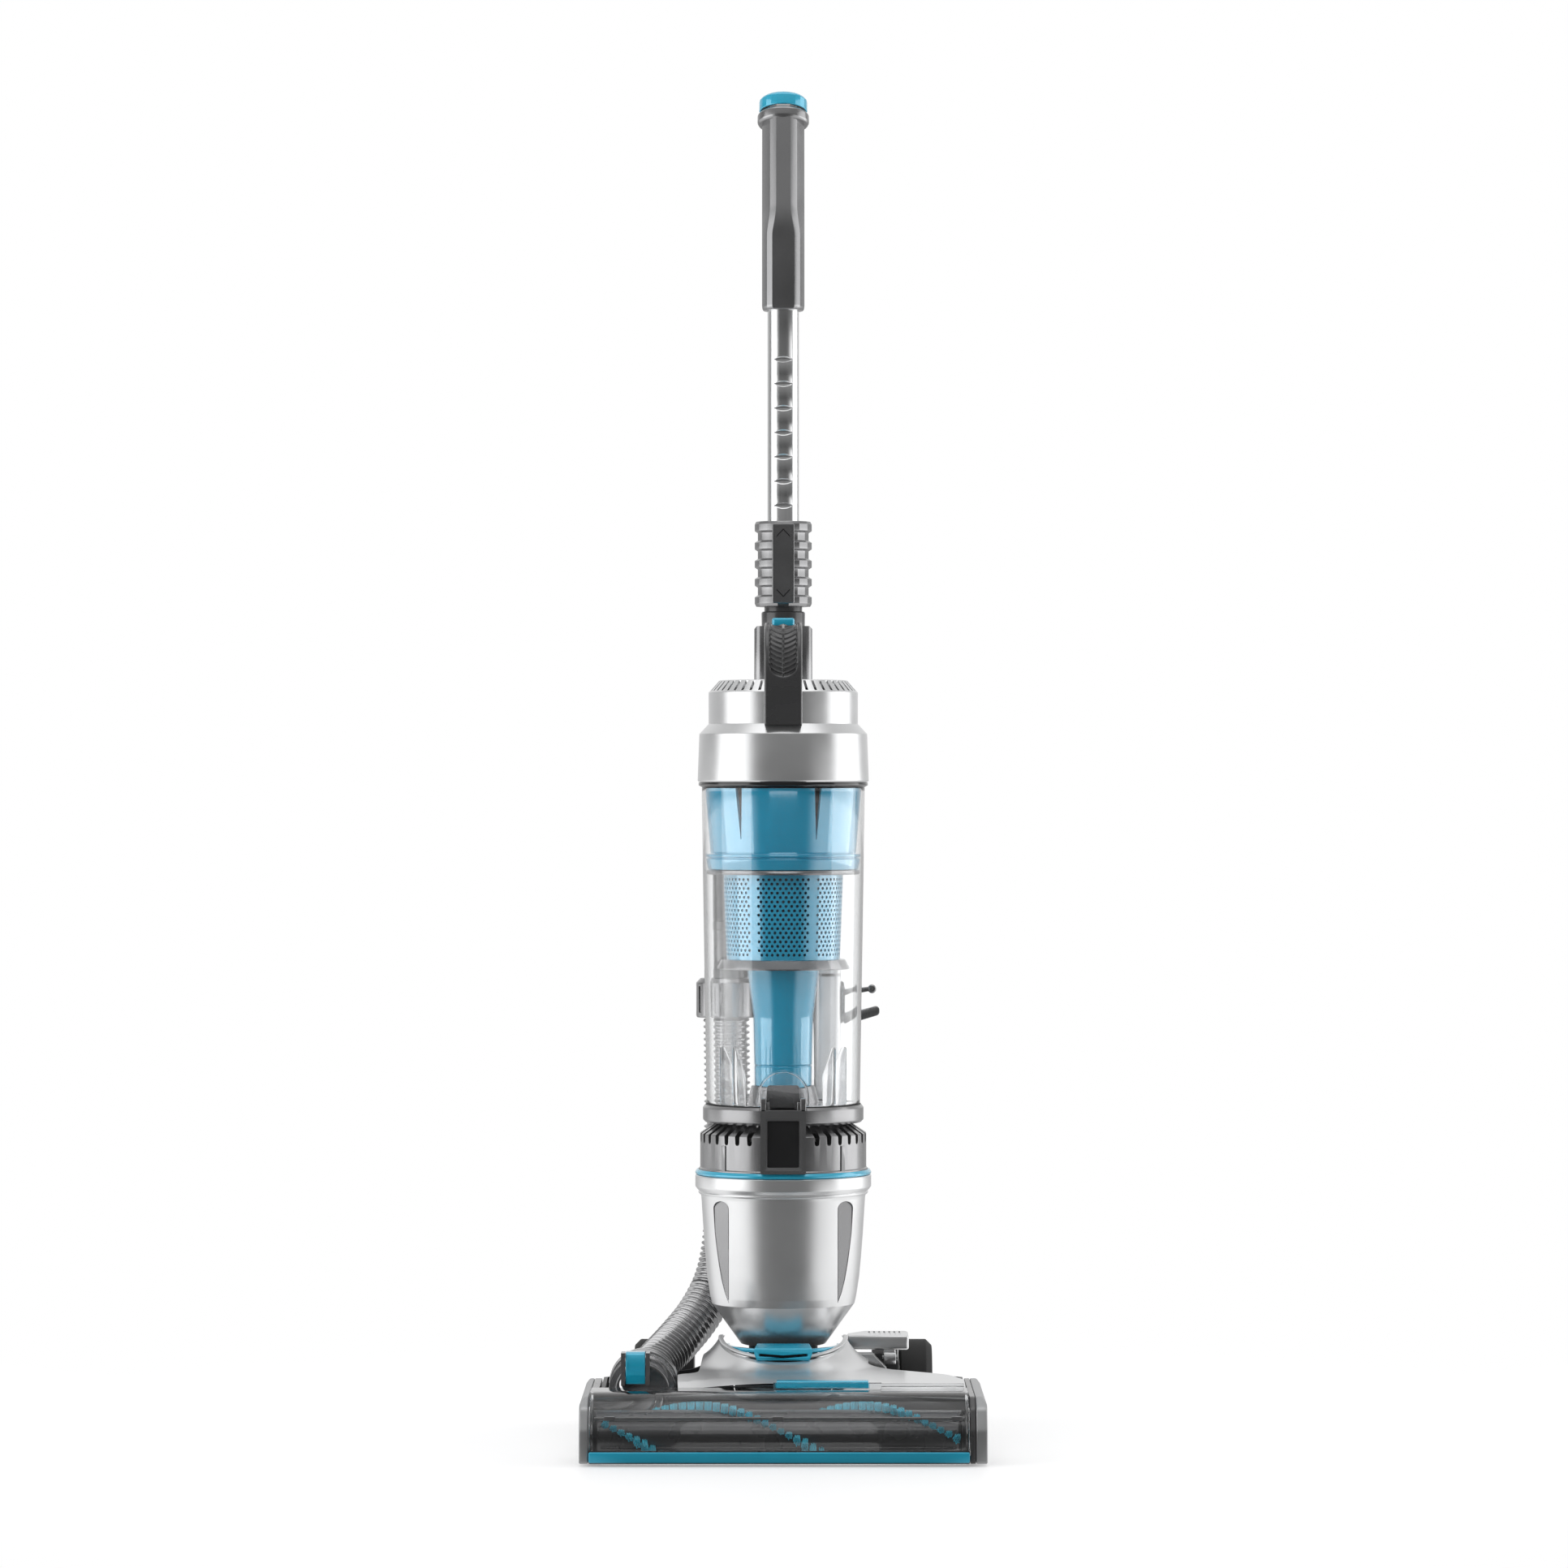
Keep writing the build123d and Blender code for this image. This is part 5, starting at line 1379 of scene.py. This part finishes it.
def grip_station(height):
    """Where the grip's middle line is at a height along it, and how far it leans there."""
    start, bend = GRIP_BEND - 10.0, 20.0
    y, z, done, lean = TUBE_Y, min(height, start), start, 0.0
    while done < height:
        step = min(1.0, height - done)
        share = min(1.0, (done + step / 2 - start) / bend)
        lean = GRIP_LEAN * share * share * (3 - 2 * share)
        y += step * math.sin(lean)
        z += step * math.cos(lean)
        done += step
    return y, z, lean


def make_grip():
    """Faceted hand grip whose front face narrows above its bend, with a collar under the cap."""
    low = span("grip_shell")[0]
    end = GRIP_BEND + GRIP_LENGTH
    heights = [low.z, low.z + 0.5, low.z + 1.4, low.z + 2.6, low.z + 4.0, 930.0, 950.0]
    heights += [950.0 + 2.0 * n for n in range(1, 19)] + [1000.0, end - 14.0, end - 10.0, end]
    points = []
    for height in heights:
        share = min(1.0, max(0.0, (height - 952.0) / 21.0))
        share = share * share * (3 - 2 * share)
        flat = 8.8 + (5.4 - 8.8) * share
        strip = 13.3 + (10.9 - 13.3) * share
        side = 5.5 - 4.0 * share
        near_end = min(1.0, (height - low.z) / 4.0)
        scale = 1.0 - 0.10 * (1 - math.sqrt(1 - (1 - near_end) ** 2))
        y, z, lean = grip_station(height)
        for x, forward in grip_ring(flat, strip, side):
            points.append((x * scale, y + forward * scale * math.cos(lean),
                z - forward * scale * math.sin(lean)))
    count = len(points) // len(heights)
    grip = mesh_object("grip_shell", points, ring_faces(len(heights), count), 14)
    grip = bevelled(grip, 0.45, 2, angle=14, sharp=40)
    bore = turned("bore", [(0, low.z - 5), (12.8, low.z - 5), (12.8, 930), (0, 930)], (0, TUBE_Y, 0),
        steps=96)
    grip = combined(grip, bore)
    y, z, lean = grip_station(end)
    pose = Matrix.Translation((0, y * MM, z * MM)) @ Matrix.Rotation(-lean, 4, "X")
    pose = Matrix.Translation(AXIS) @ pose @ Matrix.Translation(-AXIS)
    flange = turned("flange", rounded([(10, -11.4), (19.4, -11.4, 2), (20.75, -9.2, 2.5),
        (20.75, -3.6, 2.0), (19.0, -1.6, 1.2), (17.6, -1.6), (17.6, -0.2), (10, -0.2)], 0.5, 5))
    flange.data.transform(pose)
    dress(joined(grip, flange), GUNMETAL, "handle", "grip_shell")
    cap = turned("grip_cap", rounded([(0, 0.2), (19.4, 0.2, 0.8), (19.4, 9.0, 2.2), (17.0, 11.6, 3.0),
        (0, 11.9)], 0.5, 5), steps=24, sharp=10)
    cap.data.transform(pose)
    dress(bevelled(cap, 0.4, 2, angle=12, sharp=30), TEAL, "handle", "grip_cap")
    # A thin black disc in the groove between the cap and the flange: painted shadow of the groove.
    groove_shadow = turned("cap_groove_shadow", [(0, -0.3), (18.2, -0.3), (18.2, 0.4), (0, 0.4)])
    groove_shadow.data.transform(pose)
    dress(groove_shadow, BLACK, "handle")


make_height_collar()
make_tube()
make_grip()


# --------------------------------------------------------------------------- bin

def make_cup():
    """Clear bin with a rolled foot and rim, inner fins and the arched tab in front."""
    low, high = span("bin_cup")
    top = high.z
    bottom_z = 263.3
    outer = [(58.6, bottom_z), (60.2, bottom_z + 0.6, 0.8), (60.2, bottom_z + 2.0, 3)]
    outer += [(60.2 + 3.8 * n / 8, bottom_z + 3 + (top - 6.0 - bottom_z - 3) * n / 8) for n in range(1, 9)]
    outer += [(64.0, top - 2.0), (64.0, top, 0.5), (62.2, top, 0.5)]
    inner = [(62.0, top - 3)] + [(62.0 - 3.8 * n / 8,
        top - 6 - (top - 6.0 - bottom_z - 3) * n / 8) for n in range(0, 9)]
    cup = turned("bin_cup", rounded(outer + inner, 0.1), steps=FINE_STEPS, sharp=25)
    fins = []
    for angle in (-57, -42, 57, 44):
        fin = prism("fin", rounded([(-57.6, 265), (-57.6, 309, 2), (-54, 309, 2), (-44, 287, 3),
            (-44, 265)], 0.5), -0.6, 0.6, "X", 0.2)
        fins.append(spun(fin, angle))
    arch = [(-20.0, 264.6), (-20.0, 272.4)] + arc((0.0, 272.4), 20.0, 180, 0, 28)[1:] + [(20.0, 264.6)]
    shell = prism("tab", arch, low.y, -59.8, "Y", 0)
    pocket = [(-18.2, 266.2), (-18.2, 272.4)] + arc((0.0, 272.4), 18.2, 180, 0, 28)[1:] + [(18.2, 266.2)]
    shell = combined(shell, prism("pocket", pocket, low.y + 1.5, -50, "Y", 0))
    shell = combined(shell, turned("bore", [(0, 250), (60.3, 250), (60.9, 300), (0, 300)], steps=180))
    shell = bevelled(shell, 0.4, 2, angle=45)
    dress(joined(cup, shell, *fins), CLEAR, "bin", "bin_cup")
    rim = turned("cup_seal", rounded([(59.0, 262.9), (60.9, 262.9, 0.3), (60.9, 263.6, 0.3), (59.0, 263.6)],
        0.1), steps=180)
    dress(rim, BLACK, "bin", "bin_cup")


def make_door():
    """Hinged floor of the bin, with its catch in front and its hinge behind."""
    floor_z = span("bin_door")[0].z
    ring = rounded([(0, floor_z), (61.0, floor_z, 1.2), (63.0, floor_z + 2.2, 1.0), (63.0, 260.6, 0.8),
        (61.4, 262.8, 0.6), (56.5, 262.8, 0.8), (56.5, 258.2, 1.0), (0, 258.2)], 0.3, 5)
    ring = turned("bin_door", ring, steps=FINE_STEPS)
    pin = turned("pin", rounded([(0, -14), (2.5, -14, 0.6), (2.5, 14, 0.6), (0, 14)], 0.2), (0, 63.5, 256),
        "X", 32)
    knuckles = [turned("knuckle", rounded([(2.5, x), (4.2, x, 0.5), (4.2, x + 6, 0.5), (2.5, x + 6)], 0.2),
        (0, 63.5, 256), "X", 40) for x in (-13, -3, 7)]
    dress(joined(ring, pin, *knuckles), GUNMETAL, "bin", "bin_door")
    seat = prism("bin_catch", rounded([(-13.2, 263.0, 4.5), (-12.4, 280.8, 2.2), (12.4, 280.8, 2.2),
        (13.2, 263.0, 4.5)], 2.0, 6), -65.4, -60.6, "Y", 0.6, 3)
    dress(seat, CHARCOAL, "bin", "bin_door")


def make_cyclone():
    """Coloured pack with narrow slits round its drum, its rings and the dark lip above."""
    top = span("cyclone_top")[1].z
    profile = rounded([
        (61.3, top - 5.0), (57.2, 461.0, 1.0), (57.2, 459.6), (61.0, 459.2, 0.5), (61.0, 457.4, 0.5),
        (59.2, 456.8, 0.2),
        (59.2, 456.0, 0.2), (60.4, 455.4, 0.5), (59.0, 447.0, 1.0), (55.8, 446.8), (55.8, 455.0),
        (54.2, 461.0), (58.4, top - 5.0),
    ], 0.3, 5)
    drum = turned("cyclone_top", profile, steps=FINE_STEPS, sharp=28)
    slit = radial_prism("slit", [(-3.4, top + 2), (-0.25, 471.0), (0.25, 471.0), (3.4, top + 2)], 54.6, 66)
    drum = combined(drum, around(slit, [26 + 60 * n for n in range(6)]), sharp=28)
    dress(drum, TEAL_PACK, "cyclone", "cyclone_top")
    core = turned("cyclone_core", rounded([(50.0, 448.0), (53.4, 461.0), (55.6, top - 4.6),
        (48, top - 4.6)], 0.5), steps=120)
    cones = []
    for number in range(12):
        angle = math.radians(30 * number + 15)
        x, y = 42.0 * math.sin(angle), -42.0 * math.cos(angle)
        cones.append(turned("small_cone", rounded([(3, 449), (4, 449), (9, top - 6), (8, top - 6)], 0.3),
            (x, y, 0), steps=32))
    dress(joined(core, *cones), CHARCOAL, "cyclone", "cyclone_top")
    lip = turned("cyclone_lip", rounded([
        (62.6, top - 4.9), (64.2, top - 4.0, 0.4), (66.5, top - 2.6, 0.5), (66.5, top - 0.2, 0.7),
        (65.2, top, 0.4), (20.0, top), (20.0, top - 4.9),
    ], 0.2, 4), steps=FINE_STEPS)
    dress(lip, GLOSS_BLACK, "cyclone", "cyclone_top")
    band = turned("cyclone_band", rounded([(47.5, 443.3), (59.2, 443.2, 0.8), (60.2, 444.6, 0.6),
        (59.8, 446.6, 0.4), (47.5, 446.6)], 0.2, 4), steps=FINE_STEPS)
    dress(band, GUNMETAL, "cyclone", "cyclone_top")


def make_shroud():
    """Perforated screen with six plain strips, on a flared skirt."""
    low, high = span("mesh_shroud")
    rows, columns, pitch, hole = 18, 66, 3.45, 1.22
    first = 376.6 + 2.6
    cell = 360.0 / columns

    def point(angle, z):
        radius = 44.5 + 2.5 * (z - 376.5) / (high.z - 376.5)
        turn = math.radians(angle)
        return (radius * math.sin(turn), -radius * math.cos(turn), z)

    points, faces = [], []
    border = [(-0.5, -0.5), (0.0, -0.5), (0.5, -0.5), (0.5, 0.0), (0.5, 0.5), (0.0, 0.5), (-0.5, 0.5),
        (-0.5, 0.0)]
    for row in range(rows):
        z = first + pitch * (row + 0.5)
        for column in range(columns):
            angle = cell * (column + 0.5 * (row % 2))
            from_strip = abs((angle - 30 + 30) % 60 - 30)
            start = len(points)
            for across, up in border:
                points.append(point(angle + across * cell, z + up * pitch))
            if from_strip < 4.2:
                faces.append(tuple(range(start, start + 8)))
                continue
            for across, up in border:
                turn = math.atan2(up, across)
                points.append(point(angle + math.degrees(hole * math.cos(turn) / 46.0),
                    z + hole * math.sin(turn)))
            for side in range(8):
                following = (side + 1) % 8
                faces.append((start + side, start + following, start + 8 + following, start + 8 + side))
    for z_low, z_high, row in ((376.5, first, 0), (first + rows * pitch, high.z, rows - 1)):
        shift = 0.5 * (row % 2)
        for half in range(columns * 2):
            left = cell * (half / 2 - 0.5 + shift)
            start = len(points)
            points += [point(left, z_low), point(left + cell / 2, z_low), point(left + cell / 2, z_high),
                point(left, z_high)]
            faces.append((start, start + 1, start + 2, start + 3))
    screen = mesh_object("mesh_shroud", points, faces, 40)
    solid = screen.modifiers.new("solid", "SOLIDIFY")
    solid.thickness = 1.2 * MM
    solid.offset = -1.0
    applied(screen)
    smooth(screen, 40)
    dress(screen, TEAL_PACK, "cyclone", "mesh_shroud")
    lining = turned("shroud_lining", rounded([(38.6, 377), (40.4, 377), (42.6, 443.2), (41.0, 443.2)], 0.1),
        steps=96)
    dress(lining, TEAL_DARK, "cyclone", "mesh_shroud")
    skirt = turned("shroud_skirt", rounded([(43.0, 376.9), (45.2, 376.9, 0.3), (48.6, 376.4, 0.6),
        (52.0, 370.4, 0.5), (51.8, low.z, 0.3), (50.6, low.z), (47.6, 374.6), (43.0, 375.2)], 0.2, 4),
        steps=24, sharp=10)
    dress(bevelled(skirt, 0.3, 2, angle=12, sharp=30), GUNMETAL, "cyclone", "mesh_shroud")


def make_cone():
    """Coloured cone down the middle of the bin, standing on a dark foot."""
    low, high = span("cyclone_cone")
    profile = rounded([
        (26.5, high.z), (30.0, high.z), (28.3, 368.0, 8), (25.6, 349.0, 60), (23.4, 331.0, 40),
        (22.6, 294.4), (22.4, 294.0, 0.1), (22.0, 293.5),
        (22.0, 292.9), (22.5, 292.4, 0.1), (22.3, 277.6), (20.0, 277.6), (20.5, 331.0), (25.4, 368.0),
    ], 0.3, 6)
    dress(turned("cyclone_cone", profile, steps=180), TEAL_PACK, "cyclone", "cyclone_cone")
    foot = turned("cone_foot", rounded([(14.5, low.z + 0.2), (29.6, low.z + 0.2, 0.8), (24.9, 277.4, 0.8),
        (14.5, 277.4)], 0.3), steps=120)
    dress(foot, GUNMETAL, "cyclone", "cyclone_cone")


def make_filter():
    """Pleated filter under the lid, between two rims."""
    low, high = span("pre_motor_filter")
    pleats = 60
    outline = []
    for number in range(pleats * 2):
        radius = 45.8 if number % 2 == 0 else 41.0
        turn = math.pi * number / pleats
        outline.append((radius * math.cos(turn), radius * math.sin(turn)))
    core = prism("pre_motor_filter", outline, low.z + 3.5, high.z - 3.5, "Z", 0, sharp=60)
    core = combined(core, turned("bore", [(0, low.z), (20, low.z), (20, high.z), (0, high.z)], steps=64),
        sharp=60)
    rims = []
    for z in (low.z, high.z - 4):
        rims.append(turned("filter_rims", rounded([(18, z), (47, z, 0.8), (47, z + 4, 0.8), (18, z + 4)],
            0.3), steps=96))
    dress(core, FILTER, "cyclone", "pre_motor_filter")
    dress(joined(*rims), RUBBER, "cyclone", "pre_motor_filter")


def make_lid():
    """Silver lid: wide band, narrow drum and a slanted ring of radial vents."""
    low, high = span("bin_lid")
    outline = rounded([
        (66.6, low.z), (67.2, low.z + 0.8, 0.5), (65.9, 553.2, 1.6), (58.6, 561.0, 1.2), (58.6, 585.8, 1.4),
        (56.8, 587.6, 0.8),
        (50.0, high.z - 0.2, 1.4), (20, high.z), (8, high.z - 1), (8, 591), (48.5, 591), (55.6, 584),
        (55.6, 560), (62.5, 552), (64.0, low.z),
    ], 0.3, 6)
    count = 48
    lid = turned("bin_lid", outline, steps=6 * count, sharp=26)
    shape = rounded([(-1.1, 584.4), (1.1, 584.4), (1.1, 600), (-1.1, 600)], 0.6)
    slot = radial_prism("slot", shape, 50.6, 57.4)
    lid = combined(lid, around(slot, [360 / count * (n + 0.5) for n in range(count)]), sharp=26)
    dress(lid, SILVER, "lid", "bin_lid")
    liner = turned("lid_liner", rounded([(40, 588.6), (48.2, 588.6), (55.0, 582.0), (55.0, 575),
        (53.6, 575), (53.6, 581), (47.4, 587.2), (40, 587.2)], 0.2), steps=120)
    dress(liner, BLACK, "lid", "bin_lid")
    cover = rounded([(0, high.z - 1.4), (30.0, high.z - 1.4), (36.0, high.z - 0.5, 1),
        (42.0, high.z - 0.3, 0.5), (42.0, high.z - 3), (0, high.z - 3)], 0.3)
    dress(turned("lid_dish", cover, steps=120), PALE, "lid", "bin_lid")


HANDLE_FOOT = 560.0   # height of the carrying handle's front foot


def handle_station(along, front, top, bend):
    """Outer line of the handle from its front foot up, over the arc and back along the top."""
    rise = top - bend - HANDLE_FOOT
    if along < rise:
        return front, HANDLE_FOOT + along, (-1.0, 0.0)
    swing = (along - rise) / bend
    if swing < math.pi / 2:
        across, up = math.cos(swing), math.sin(swing)
        return front + bend - bend * across, top - bend + bend * up, (-across, up)
    return front + bend + (along - rise - bend * math.pi / 2), top, (0.0, 1.0)


def leaf_depth(x, z):
    """How deep the thumb scoop is at a point of the handle's front, with its raised leaf veins."""
    half = 11.4
    floor_z, top_z = 596.0, 640.0
    if abs(x) >= half or z <= floor_z:
        return 0.0
    edge = 1.0 - (x / half) ** 2
    bowl_z = floor_z + 11.0 * (1 - math.sqrt(max(0.0, edge)))
    inside = min(1.0, max(0.0, (z - bowl_z) / 3.0)) * min(1.0, (half - abs(x)) / 1.6)
    scoop = 2.2 * inside * inside * (3 - 2 * inside)
    drop = z - 5.5 * (abs(x) / half) ** 1.6
    phase = (top_z - drop) / 4.0
    wave = 0.5 + 0.5 * math.cos(2 * math.pi * phase)
    vein = 1.0 * wave ** 6
    spine_vein = 1.2 * max(0.0, 1 - abs(x) / 0.9)
    return scoop - min(scoop, max(vein, spine_vein)) * (1.0 if scoop > 0.8 else 0.0)


def make_handle():
    """Arched carrying handle with a leaf-textured thumb scoop on its front shoulder."""
    low, high = span("bin_handle")
    half, front, top, bend, thick = high.x, low.y, high.z, 40.0, 14.0
    rise = top - bend - HANDLE_FOOT
    arc_end = rise + bend * math.pi / 2
    run = 54.0 - (front + bend)
    stations = [float(n) * 5 for n in range(int(rise * 0.85 / 5))]
    stations += [rise * 0.85 + (arc_end - rise * 0.85) * n / 150 for n in range(151)]
    stations += [arc_end + run * n / 6 for n in range(1, 7)]
    cross = [(-half + 1.4 + (2 * half - 2.8) * n / 56, 0.0) for n in range(57)]
    section = cross + [(half - 0.4, -0.4), (half, -1.4), (half, -thick + 1.2), (half - 1.2, -thick),
                       (-half + 1.2, -thick), (-half, -thick + 1.2), (-half, -1.4), (-half + 0.4, -0.4)]
    points = []
    for along in stations:
        y, z, outward = handle_station(along, front, top, bend)
        for number, (x, depth) in enumerate(section):
            sink = depth
            if number < len(cross):
                sink -= leaf_depth(x, z)
            points.append((x, y + outward[0] * sink, z + outward[1] * sink))
    arch = mesh_object("bin_handle", points, ring_faces(len(stations), len(section)), 50)
    rear = prism("rear", rounded([(45.9, 581), (45.9, 627, 1), (53, 627), (53, top, 0.3), (54, top, 4),
        (60, 634, 4), (60, 581)], 1.0, 6), -half, half, "X", 1.2, 3)
    pocket = slab("pocket", (-9.7, 35.4, 630), (9.7, 55.6, 652), 2.0, "Z", 0)
    arch = combined(arch, rear, "UNION", sharp=50)
    arch = combined(arch, pocket, sharp=50)
    dress(arch, CHARCOAL, "lid", "bin_handle")
    # Thin silver tubes along both side edges of the arch: painted highlights that stand in for the glints on
    # the edges' bevels.
    rails = []
    for side in (-1, 1):
        line = []
        for along in stations[::6]:
            y, z, outward = handle_station(along, front, top, bend)
            line.append(place(side * (half - 0.25), y - outward[0] * 2.6, z - outward[1] * 2.6))
        rails.append(tube_along("edge_highlight_rails", line, lambda along: 0.42, 8))
    dress(joined(*rails), SILVER, "lid", "bin_handle")
    low, high = span("release_button")
    key = slab("release_button", low, high, 3.0, "Z", 1.8, 4)
    ribs = slab("rib", (low.x + 3, low.y + 5, high.z - 0.4), (high.x - 3, low.y + 6.2, high.z), 0.5, "Z", 0.1)
    dress(joined(key, ribs), TEAL, "release_button", "release_button")


make_cup()
make_door()
make_cyclone()
make_shroud()
make_cone()
make_filter()
make_lid()
make_handle()
